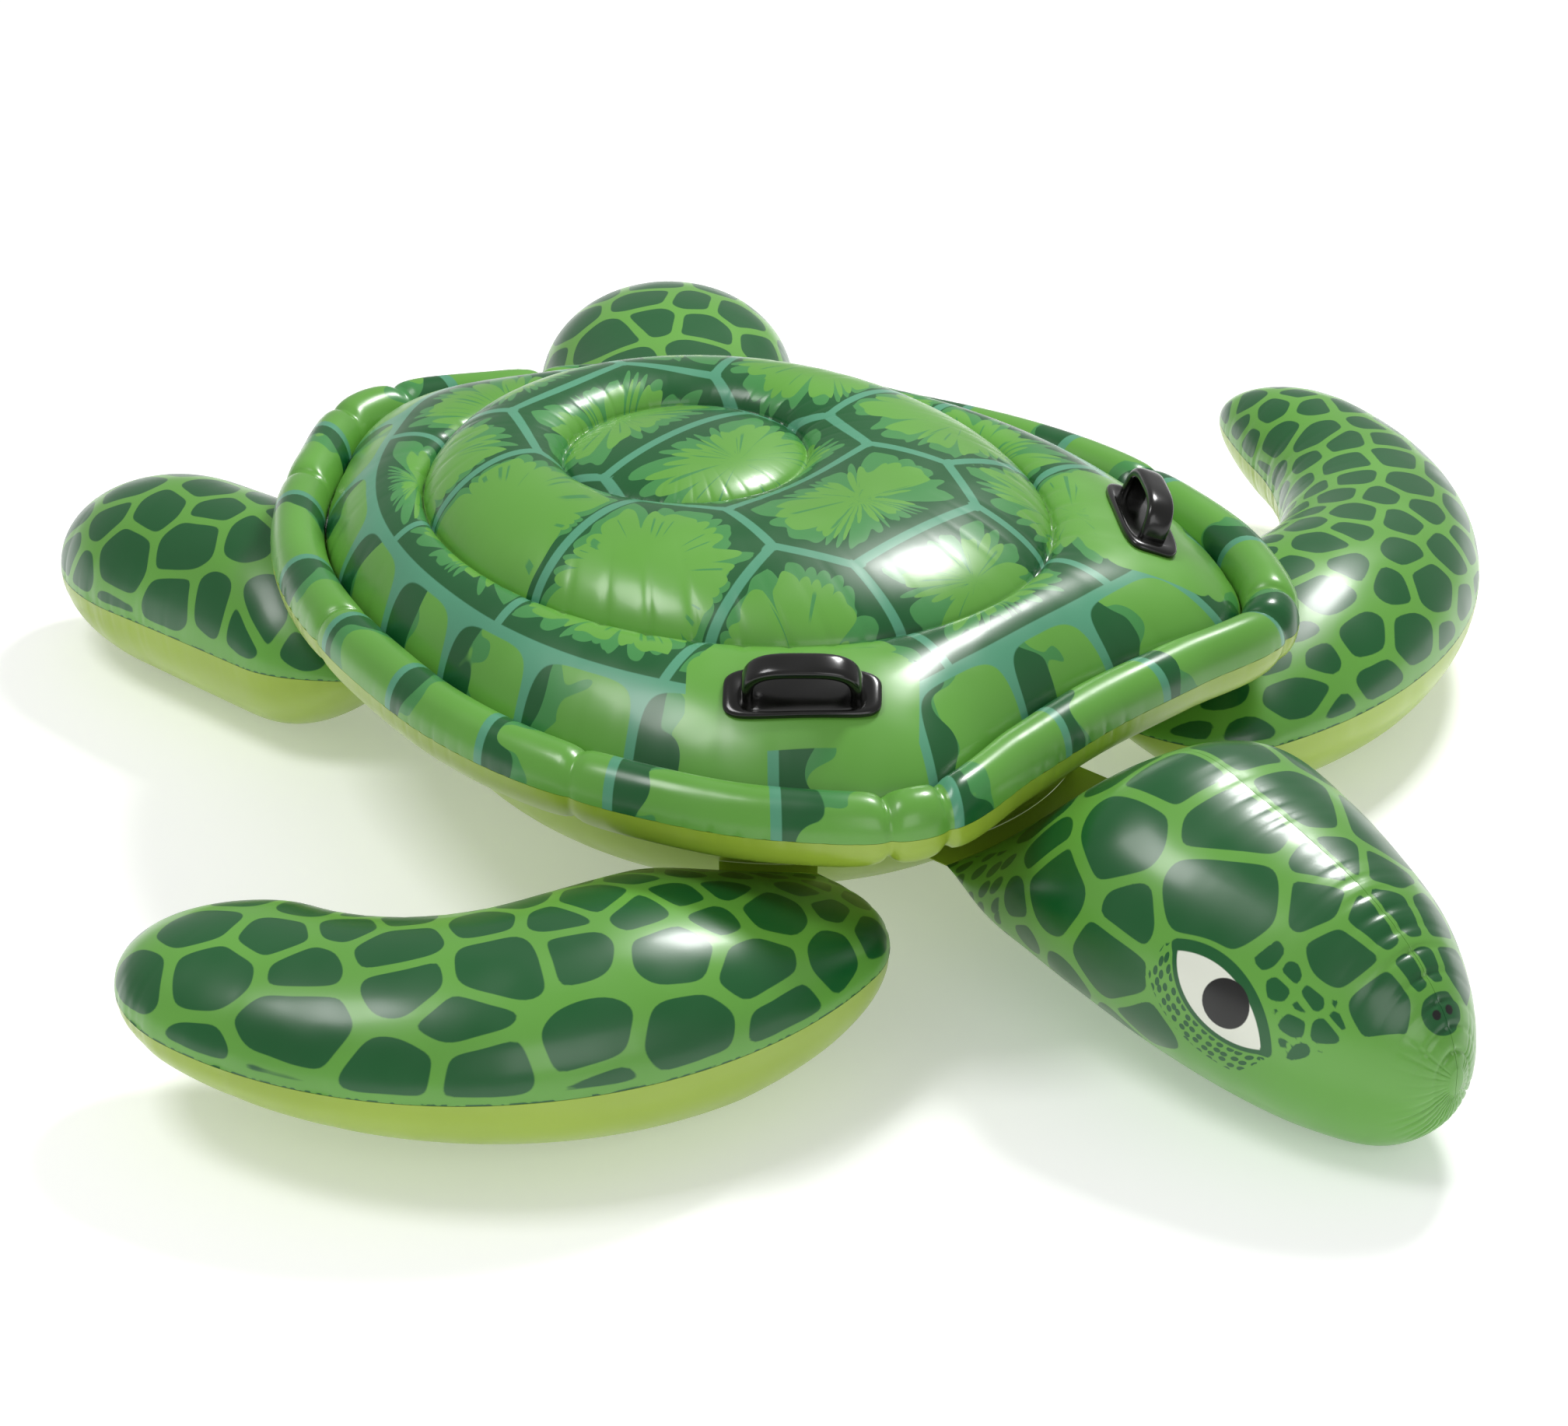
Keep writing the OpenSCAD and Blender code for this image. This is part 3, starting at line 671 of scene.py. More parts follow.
@dataclass(frozen=True)
class HeadPrint:
    """Broad dark plates on light green, beads, a bare jaw, an almond eye and the nostrils, in metres."""

    name: str = "head_print"
    # Scale and size by which the plates' borders wobble
    wobble: tuple[float, float] = (35.0, 0.0016)
    # Beads, in spacings: radius, softness of the edge and how far they stray from even rows
    bead: float = 0.36
    bead_soft: float = 0.04
    bead_stray: float = 0.45

    def material(self) -> bpy.types.Material:
        """Prints the head, from the distances that its panels carry.

        Returns:
            The material.
        """
        pen = Pen(self.name)
        inks = pen.over(pen.past(pen.attribute("plate"), pen.wobble(*self.wobble)), Tint.LIGHT, Tint.DARK)
        rows = {"Vector": pen.attribute("bead_place", "Vector"), "Scale": 1.0, "Randomness": self.bead_stray}
        near = pen.node("TexVoronoi", rows, feature="F1", voronoi_dimensions="2D")
        dots = pen.math("SUBTRACT", 1.0, pen.past(near, self.bead, self.bead_soft))
        inks = pen.over(pen.math("MULTIPLY", dots, pen.past(pen.attribute("beads"), 0.0)), inks, Tint.DARK)
        marks = {"lid": Tint.DARK, "eye": Tint.WHITE, "pupil": Tint.BLACK, "nostril": Tint.BLACK}
        for name, tint in marks.items():
            inks = pen.over(pen.past(pen.attribute(name), 0.0), tint, inks)
        return VinylFinish(self.name).dress(pen, inks)


@dataclass
class Wardrobe:
    """Every finish of the float, made once."""

    shell: bpy.types.Material
    flipper: bpy.types.Material
    head: bpy.types.Material
    lime: bpy.types.Material
    web: bpy.types.Material
    valve: bpy.types.Material
    black: bpy.types.Material

    @classmethod
    def make(cls) -> "Wardrobe":
        """Makes the finishes.

        Returns:
            The wardrobe.
        """
        return cls(
            shell=ShellPrint().material(),
            flipper=ScalePrint().material(),
            head=HeadPrint().material(),
            lime=VinylFinish("plain_vinyl").plain(Tint.LIME),
            web=VinylFinish("web_vinyl", roughness=0.35).plain(Tint.CLEAR),
            valve=VinylFinish("valve_vinyl", roughness=0.34).plain(Tint.LIME),
            black=VinylFinish("black_vinyl", roughness=0.22).plain(Tint.BLACK),
        )


def install(
    obj: bpy.types.Object, material: bpy.types.Material, body: str, node: str
) -> None:
    """Dresses a piece and ties it to the frame.

    Args:
        obj: the piece.
        material: its finish.
        body: the body that it rides on.
        node: the CAD node that it stands for.
    """
    obj.data.materials.append(material)
    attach(obj, body)
    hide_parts(node)
    LOG.info("%s: %d points on body %s", obj.name, len(obj.data.vertices), body)


@dataclass
class Shell:
    """The padded shell, its rim tube, the underside and the belly, in millimetres and degrees."""

    gauge: float = 0.45
    gap: float = 0.3
    width: float = 680
    length: float = 798
    # Radii of the outline every 15 degrees, from the rear round the left side to the front
    radii: tuple[float, ...] = (450, 412, 381, 355, 336, 329, 336, 350, 369, 394, 408, 364, 347)
    # Rim tube, and its pinches on the left side: angle, and depth as a share of the tube
    rim_z: float = 189
    rim_w: float = 44
    rim_h: float = 54
    pinches: tuple[tuple[float, float], ...] = (
        (86, 0.30), (70, 0.30), (30, 0.22), (-22, 0.22), (-56, 0.38), (-62, 0.38),
    )
    # Peak of a pinch: width, power, how far it draws the tube in, and the share at which its folds are full
    pinch_w: float = 5.0
    pinch_power: float = 0.8
    pinch_in: float = 0.25
    pinch_full: float = 1 / 3
    # Pillows: the ring, the dome and the middle pad, or island
    puff_power: float = 0.6
    ring_puff: float = 28
    dome_w: float = 433
    dome_l: float = 502
    dome_y: float = 19
    dome_z: float = 241
    dome_puff: float = 35
    island_w: float = 190
    island_l: float = 180
    island_y: float = 70
    island_z: float = 266
    island_puff: float = 22
    # Underside, belly and weld tabs
    drop: float = 50
    under_round: float = 30
    belly_w: float = 500
    belly_l: float = 560
    belly_sink: float = 10
    floor_r: float = 92
    hinge_drop: float = 55
    tab_t: float = 0.9
    tab_reach: float = 8
    # Valves: places, the faces that are taken out round a stem and the opening's radius
    valve_inset: float = 120
    valve_slope: float = 20
    valve_hole: float = 11.5
    valve_r: float = 9.2
    # Scutes of the back in plan: the middle row, the left side's row, how far the lines across that one are
    # moved away, and the step from one scute's noise to the next one's
    middle_row: tuple[float, ...] = (-215, -105, 15, 140, 250)
    side_row: tuple[tuple[float, float], ...] = ((150, -185), (175, -55), (180, 85), (140, 215))
    side_ease: float = 2.6
    scute_turn: float = 7.3
    # Marginal scutes: how many, where the first starts and how far across the ring they reach
    marginals: int = 20
    marginal_start: float = 9.0
    marginal_share: float = 0.46
    # Puckers along the welds
    dome_folds: Pucker = Pucker(2.2, 31, 0.4, 16)
    groove_folds: Pucker = Pucker(1.6, 27, 1.7, 14)
    island_folds: Pucker = Pucker(1.2, 37, 2.9, 12)
    rim_folds: Pucker = Pucker(1.1, 19, 0.9, 12)
    pinch_folds: Pucker = Pucker(2.4, 6.5, 0.3)
    under_folds: Pucker = Pucker(1.3, 24, 2.2, 14)
    bowl_folds: Pucker = Pucker(1.2, 21, 1.1, 13)
    tab_folds: Pucker = Pucker(0.25, 9)
    # Mean radii of the welds that carry puckers, and mean distances across the skins beside them
    top_r: float = 250
    rim_r: float = 380
    under_r: float = 350
    bowl_r: float = 250
    rim_across: float = 38
    island_across: float = 90
    under_across: float = 45
    bowl_across: float = 180
    # Grids: rows of each zone, then points round; the middle pad's rows are spaced by a power
    top_grid: tuple[int, int, int, int] = (36, 40, 20, 480)
    island_ease: float = 1.2
    rim_grid: tuple[int, int] = (17, 960)
    under_grid: tuple[int, int, int] = (13, 26, 400)
    bowl_grid: tuple[int, int] = (30, 300)
    base_grid: tuple[int, int] = (12, 160)
    web_grid: tuple[int, int] = (8, 240)
    tab_grid: tuple[int, int] = (9, 41)

    def __post_init__(self) -> None:
        """Works out the heights and the scale of the outline that follow from the sizes."""
        half = np.array(self.radii)
        self.turn = np.concatenate([half, half[-2:0:-1]])[:, None]
        # The outline is widest within 30 degrees of the side
        u = np.arange(-30.0, 31.0, 3.0)
        own_size = [2 * np.max(self.radius(u) * np.cos(np.radians(u))), half[0] + half[-1]]
        self.stretch = np.array([self.width, self.length]) / own_size
        self.bottom_z = self.rim_z - self.drop
        self.hinge_z = self.bottom_z - self.hinge_drop
        self.bowl_z = self.bottom_z - 2 * self.gap
        self.bowl_depth = self.bowl_z + self.belly_sink
        self.bowl_end = math.asin(self.bowl_z / self.bowl_depth)
        self.wall_slope = math.asin((self.bowl_z - self.hinge_z - self.tab_t / 2) / self.bowl_depth)

    def radius(self, u: np.ndarray) -> np.ndarray:
        """Returns the outline's own radius at angles u, a closed spline through the radii."""
        return spline(self.turn, (90 - u) * len(self.turn) / 360, True)[..., 0]

    def rim(self, u: np.ndarray) -> np.ndarray:
        """Returns the rim seam in plan: the outline stretched to the shell's width and length."""
        return self.radius(u)[..., None] * heading_ray(u) * self.stretch

    def inset(self, u: np.ndarray, d: np.ndarray | float) -> np.ndarray:
        """Returns the rim seam drawn in towards the origin by a distance."""
        p = self.rim(u)
        return p * (1 - d / np.linalg.norm(p, axis=-1))[..., None]

    def dome(self, u: np.ndarray) -> np.ndarray:
        """Returns the dome seam in plan, an ellipse."""
        return np.array([0, self.dome_y]) + np.array([self.dome_w, self.dome_l]) / 2 * heading_ray(u)

    def island(self, u: np.ndarray) -> np.ndarray:
        """Returns the middle pad's seam in plan, an ellipse."""
        return np.array([0, self.island_y]) + np.array([self.island_w, self.island_l]) / 2 * heading_ray(u)

    def puff(self, t: np.ndarray) -> np.ndarray:
        """Returns a pillow's height between two seams: 4t(1 - t) to a power under 1, upright at the seams."""
        return np.maximum(4 * t * (1 - t), 0) ** self.puff_power

    def ring_at(self, u: np.ndarray, t: np.ndarray) -> np.ndarray:
        """Returns points of the padded ring: ruled in plan from groove to dome seam, puffed in height."""
        z = mix(self.rim_z + self.gap / 2, self.dome_z, t) + self.ring_puff * self.puff(t)
        return lift(mix(self.inset(u, self.rim_w), self.dome(u), t[..., None]), z)

    def dome_at(self, u: np.ndarray, t: np.ndarray) -> np.ndarray:
        """Returns points of the dome: ruled in plan from its seam to the middle pad's, puffed in height."""
        z = mix(self.dome_z, self.island_z, t) + self.dome_puff * self.puff(t)
        return lift(mix(self.dome(u), self.island(u), t[..., None]), z)

    def island_at(self, u: np.ndarray, t: np.ndarray) -> np.ndarray:
        """Returns points of the middle pad: ellipses that shrink to its centre under a rounded crown."""
        z = self.island_z + self.island_puff * (1 - (1 - t) ** 2) ** self.puff_power
        return lift(mix(self.island(u), np.array([0, self.island_y]), t[..., None]), z)

    def pinch(self, u: np.ndarray) -> np.ndarray:
        """How far the rim tube is drawn in: a sum of narrow peaks exp(-|x|^p) at the pinches of both sides.

        Args:
            u: angles.

        Returns:
            Shares of the tube.
        """
        total = np.zeros_like(u)
        for angle, depth in self.pinches:
            for centre in (angle, 180 - angle):
                arc = np.radians((u - centre + 180) % 360 - 180) * self.radius(u)
                total = total + depth * np.exp(-np.abs(arc / self.pinch_w) ** self.pinch_power)
        return total

    def belly_r(self, u: np.ndarray) -> np.ndarray:
        """Returns the belly's radius in plan at angles u."""
        return 1 / np.linalg.norm(heading_ray(u) * 2 / np.array([self.belly_w, self.belly_l]), axis=-1)

    def bowl_at(self, u: np.ndarray, a: np.ndarray) -> np.ndarray:
        """Returns points of the belly's bowl at slopes a, in radians: an ellipsoid cut off by the floor."""
        plan = (self.belly_r(u) * np.cos(a))[..., None] * heading_ray(u)
        return lift(plan, self.bowl_z - self.bowl_depth * np.sin(a))

    def wall_r(self, u: np.ndarray) -> np.ndarray:
        """Returns the radius in plan of the bowl's wall where the weld tabs meet it."""
        return self.belly_r(u) * math.cos(self.wall_slope)

    def hinge(self, u: float, heading: float, hinge_l: float) -> np.ndarray:
        """Returns the middle of a limb's hinge in plan: out from the belly's wall by the weld tab's reach."""
        out = self.tab_reach + hinge_l / 2 * abs(math.sin(math.radians(heading - u)))
        return (self.wall_r(np.array(u)) + out) * heading_ray(np.array(u))

    def side_values(self, u: np.ndarray, r: np.ndarray) -> tuple[np.ndarray, np.ndarray]:
        """Distances along the shell from the radial lines between the marginal scutes.

        Args:
            u: angles of the points.
            r: radii of the points.

        Returns:
            The distance to the nearest line, with a sign that turns over at each line, and the distance from
            the line behind.
        """
        step = 360 / self.marginals
        turn = (u - self.marginal_start) % (2 * step)
        behind = turn % step
        arc = np.radians(1.0) * r
        return np.minimum(behind, step - behind) * np.where(turn < step, arc, -arc), behind * arc

    def scute_values(self, plan: np.ndarray) -> tuple[np.ndarray, np.ndarray, np.ndarray]:
        """Distances from the lines between the back's scutes: the nearest bisector of two scute centres.

        Args:
            plan: points in plan.

        Returns:
            Three rival distances, of which the smallest two are equal on a line and as far apart as the line
            is away; the distance to the nearest line with the lines across the side rows moved away; and the
            direction from the scute's own centre with its number.
        """
        sides = [(s * x, y) for x, y in self.side_row for s in (-1, 1)]
        centre = np.array([(0.0, y) for y in self.middle_row] + sides)
        own, more, apart = nearest_cells(plan, centre, 0.0)
        bisector = np.where(apart > 0, more / (2 * np.maximum(apart, TINY)), np.inf)
        middle = np.arange(len(centre)) < len(self.middle_row)
        both_side = ~middle[own][..., None] & ~middle
        depth = np.min(np.where(both_side, bisector * self.side_ease, bisector), -1)
        # Three kinds of scute, so that no two neighbours are of a kind
        kind = np.append(np.arange(len(self.middle_row)), np.repeat(np.arange(len(self.side_row)) + 2, 2)) % 3
        reach = 2 * np.take_along_axis(apart, np.argmin(bisector, -1)[..., None], -1)
        rival = np.stack([np.min(np.where(kind == k, more, np.inf), -1) for k in range(3)], -1) / reach
        out = plan - centre[own]
        out = out / np.maximum(np.linalg.norm(out, axis=-1, keepdims=True), TINY)
        return rival, depth, lift(out, own * self.scute_turn)

    def around(self, count: int, rows: np.ndarray) -> tuple[np.ndarray, np.ndarray]:
        """Returns grids of angles round the shell and of row values, rows by count."""
        return tuple(np.meshgrid(np.arange(count) * 360 / count, rows))

    def top_values(
        self, plan: np.ndarray, u: np.ndarray, zone: np.ndarray, line: np.ndarray
    ) -> dict[str, np.ndarray]:
        """Distances that the top's print is drawn from.

        Args:
            plan: points in plan.
            u: their angles.
            zone: 0 on the ring, 1 on the dome and 2 on the middle pad.
            line: distances across the ring from the line that parts the marginal scutes from the back's.

        Returns:
            Grids of values by name, with distances in metres.
        """
        on_ring = zone == 0
        side, behind = self.side_values(u, np.linalg.norm(plan, axis=-1))
        rival, depth, away = self.scute_values(plan)
        grids = {
            "ring": np.where(on_ring, line, FAR), "side": side, "rival": rival,
            "behind": np.where(on_ring & (line < 0), behind, FAR),
            "depth": np.where(on_ring, np.minimum(depth, line), depth),
        }
        return {name: grid * MM for name, grid in grids.items()} | {"away": away}

    def top(self, handles: "Handles") -> Patch:
        """The shell's printed top: ring, dome and middle pad on one grid, puckered along their seams.

        Args:
            handles: the handles, which the print leaves bare fields for.

        Returns:
            The surface.
        """
        ring_rows, dome_rows, island_rows, count = self.top_grid
        rows = [eased(ring_rows), eased(dome_rows), np.linspace(0, 1, island_rows) ** self.island_ease]
        u, t = self.around(count, np.concatenate(rows))
        zone = np.repeat(np.arange(3), [len(row) for row in rows])[:, None] + np.zeros(u.shape, int)
        points = np.choose(zone[..., None], (self.ring_at(u, t), self.dome_at(u, t), self.island_at(u, t)))
        plan = points[..., :2]
        across = np.linalg.norm(self.inset(u, self.rim_w) - self.dome(u), axis=-1)
        patch = Patch("shell_top", points, np.array([0, 0, self.bottom_z]), wrap=True, last_pole=True)
        patch.values = self.top_values(plan, u, zone, (t - self.marginal_share) * across)
        patch.values["plain"] = handles.clearing(plan) * MM
        arc = np.radians(u) * self.top_r
        fold = self.dome_folds.valleys(arc, np.choose(zone, ((1 - t) * across, t * across, FAR)))
        fold += self.groove_folds.valleys(arc, np.choose(zone, (t * across, FAR, FAR)))
        wide = self.island_across
        fold += self.island_folds.valleys(arc, np.choose(zone, (FAR, (1 - t) * wide, t * wide)))
        patch.press(fold * np.choose(zone, (1, 1, 1 - t)))
        return patch

    def rim_strip(self, half: Half) -> Patch:
        """One half of the rim tube: half an ellipse carried round the rim seam, drawn in at the pinches.

        Args:
            half: the upper or the lower half.

        Returns:
            The surface, with the distances of its print.
        """
        rows, count = self.rim_grid
        u, a = self.around(count, np.linspace(0, np.pi, rows))
        wide, pinch = (self.rim_w - self.gap) / 2, self.pinch(u)
        plan = self.inset(u, wide * (1 - np.cos(a) + pinch * self.pinch_in * (1 + np.cos(a))))
        high = self.gap / 2 + self.rim_h / 2 * np.sin(a) * (1 - pinch)
        middle = lift(self.inset(u, wide), np.full_like(u, self.rim_z))
        points = lift(plan, self.rim_z + half.value * high)
        patch = Patch(f"rim_{half.name.lower()}", points, middle, wrap=True)
        side, behind = self.side_values(u, np.linalg.norm(plan, axis=-1))
        far = np.full_like(u, FAR)
        grids = {"ring": -far, "side": side, "behind": behind, "plain": far}
        patch.values = {name: grid * MM for name, grid in grids.items()}
        arc = np.radians(u) * self.rim_r
        fold = self.rim_folds.valleys(arc, self.rim_across * np.sin(a), half.value)
        fold += self.pinch_folds.valleys(arc) * grows(pinch, 0, self.pinch_full) * np.sin(a)
        patch.press(fold)
        return patch

    def underside(self) -> Patch:
        """The plain underside: a quarter ellipse from the groove down to the flat, then the flat.

        Returns:
            The surface, open round its valve.
        """
        bend_rows, flat_rows, count = self.under_grid
        rows = [np.linspace(0, np.pi / 2, bend_rows), np.linspace(0, -1, flat_rows)[1:]]
        u, k = self.around(count, np.concatenate(rows))
        curved = k >= 0
        a = np.where(curved, k, np.pi / 2)
        plan = self.inset(u, self.rim_w + self.gap + self.under_round * (1 - np.cos(a)))
        plan = plan * np.where(curved, 1, 1 + k)[..., None]
        points = lift(plan, self.rim_z - self.gap - self.drop * np.sin(a))
        patch = Patch("shell_underside", points, np.array([0, 0, self.dome_z]), wrap=True, last_pole=True)
        edge = np.where(curved, a * self.under_across, FAR)
        patch.press(self.under_folds.valleys(np.radians(u) * self.under_r, edge))
        self.open_for_valve(patch, Valve.SHELL)
        return patch

    def bowl(self) -> Patch:
        """The belly's bowl, from the underside down to the floor's disc.

        Returns:
            The surface, open round its valve.
        """
        rows, count = self.bowl_grid
        u, a = self.around(count, self.bowl_end * np.linspace(0, 1, rows))
        patch = Patch("belly_bowl", self.bowl_at(u, a), np.array([0, 0, self.bottom_z]), wrap=True)
        edge = np.minimum(a, self.bowl_end - a) * self.bowl_across
        patch.press(self.bowl_folds.valleys(np.radians(u) * self.bowl_r, edge))
        self.open_for_valve(patch, Valve.BELLY)
        return patch

    def base(self) -> Patch:
        """The flat disc in the bottom of the belly: the bowl's end, shrunk clear of the bowl's wall.

        Returns:
            The surface.
        """
        rows, count = self.base_grid
        shrink = 1 - (self.gauge / math.sin(self.bowl_end) + self.gap) / self.floor_r
        u, k = self.around(count, np.linspace(shrink, 0, rows))
        end = self.bowl_at(u, np.full_like(u, self.bowl_end))[..., :2]
        middle = np.array([0, 0, self.bottom_z])
        return Patch("belly_base", lift(end * k[..., None], 0 * u), middle, wrap=True, last_pole=True)

    def web(self, name: str, seam: np.ndarray, top_z: float) -> Patch:
        """An upright web under a seam: the seam's line carried straight up from the underside.

        Args:
            name: the piece's name.
            seam: points of the seam in plan.
            top_z: height of the seam.

        Returns:
            The surface.
        """
        z = np.linspace(self.bottom_z + self.gauge, top_z - self.gauge - self.gap, self.web_grid[0])[:, None]
        plan = np.broadcast_to(seam, (len(z), *seam.shape))
        middle = np.array([0, self.island_y, self.rim_z])
        return Patch(name, lift(plan, np.broadcast_to(z, plan.shape[:2])), middle, wrap=True)

    def valve_place(self, valve: Valve) -> tuple[np.ndarray, np.ndarray]:
        """Where a valve sits.

        Args:
            valve: which of the two.

        Returns:
            The valve's place on its skin and its outward direction.
        """
        rear = np.array([90.0])
        if valve is Valve.SHELL:
            y = self.rim(rear)[0, 1] - self.valve_inset
            return np.array([0, y, self.bottom_z - self.gap]), np.array([0, 0, -1.0])
        a = math.radians(self.valve_slope)
        out = np.array([0, math.cos(a) / (self.belly_l / 2), -math.sin(a) / self.bowl_depth])
        return self.bowl_at(rear, np.array([a]))[0], out / np.linalg.norm(out)

    def open_for_valve(self, patch: Patch, valve: Valve) -> None:
        """Opens a skin round a valve's stem: drops the faces near it and draws their corners onto a circle.

        Args:
            patch: the skin.
            valve: which of the two.
        """
        place, out = self.valve_place(valve)
        points, beside = patch.points, np.roll(patch.points, -1, 1)
        middle = (points[:-1] + points[1:] + beside[:-1] + beside[1:]) / 4
        patch.keep = np.linalg.norm(middle - place, axis=-1) > self.valve_hole
        gone = ~patch.keep | np.roll(~patch.keep, 1, 1)
        corner = np.zeros(points.shape[:2], bool)
        corner[:-1] |= gone
        corner[1:] |= gone
        off = points - place
        flat = off - (off @ out)[..., None] * out
        size = np.maximum(np.linalg.norm(flat, axis=-1, keepdims=True), TINY)
        patch.points = np.where(corner[..., None], points + flat * (self.valve_r / size - 1), points)

    def tab(self, name: str, u: float, heading: float, hinge_l: float) -> Patch:
        """A weld tab: lines ruled from the belly's wall to the hinge.

        Args:
            name: the piece's name.
            u: angle at which the tab leaves the belly.
            heading: angle in which the limb leaves the hinge.
            hinge_l: length of the hinge.

        Returns:
            The surface.
        """
        rows, count = self.tab_grid
        k, t = np.linspace(-1, 1, count), np.linspace(0, 1, rows)[:, None]
        v = u + math.degrees(math.asin(hinge_l / 2 / self.wall_r(np.array(u)))) * k
        wall = (self.wall_r(v) + self.gap)[:, None] * heading_ray(v)
        middle = self.hinge(u, heading, hinge_l) - self.gap * heading_ray(np.array(heading))
        line = middle + hinge_l / 2 * k[:, None] * heading_ray(np.array(heading + 90))
        fold = np.sin(np.pi * t) * self.tab_folds.valleys(k * hinge_l / 2, shift=u)
        points = lift(mix(wall[None], line[None], t[..., None]), self.hinge_z + self.tab_t / 2 - fold)
        return Patch(name, points, np.array([*middle, self.hinge_z - FAR]))

    def build(self, wardrobe: Wardrobe, handles: "Handles") -> None:
        """Builds the shell's pieces and ties them to the shell body.

        Args:
            wardrobe: the finishes.
            handles: the handles that sit on the shell.
        """
        print_, lime, web = wardrobe.shell, wardrobe.lime, wardrobe.web
        u = np.arange(self.web_grid[1]) * 360 / self.web_grid[1]
        dome_web = self.web("inner_dome_web", self.dome(u), self.dome_z)
        island_web = self.web("inner_island_web", self.island(u), self.island_z)
        skins = (
            (self.top(handles), print_, "shell_print", "shell_top_panel", 0.9),
            (self.rim_strip(Half.TOP), print_, "shell_print", "rim_top_strip", 0.95),
            (self.rim_strip(Half.BOTTOM), lime, "plain_vinyl", "rim_bottom_strip", 0.95),
            (self.underside(), lime, "plain_vinyl", "shell_bottom_panel", 0.9),
            (self.bowl(), lime, "plain_vinyl", "belly_panel", 0.9),
            (self.base(), lime, "plain_vinyl", "belly_floor", 0.0),
            (dome_web, web, "web_vinyl", "dome_web", 0.0),
            (island_web, web, "web_vinyl", "island_web", 0.0),
        )
        for patch, material, slot, node, fill in skins:
            install(patch.build(self.gauge), material, "shell", node)


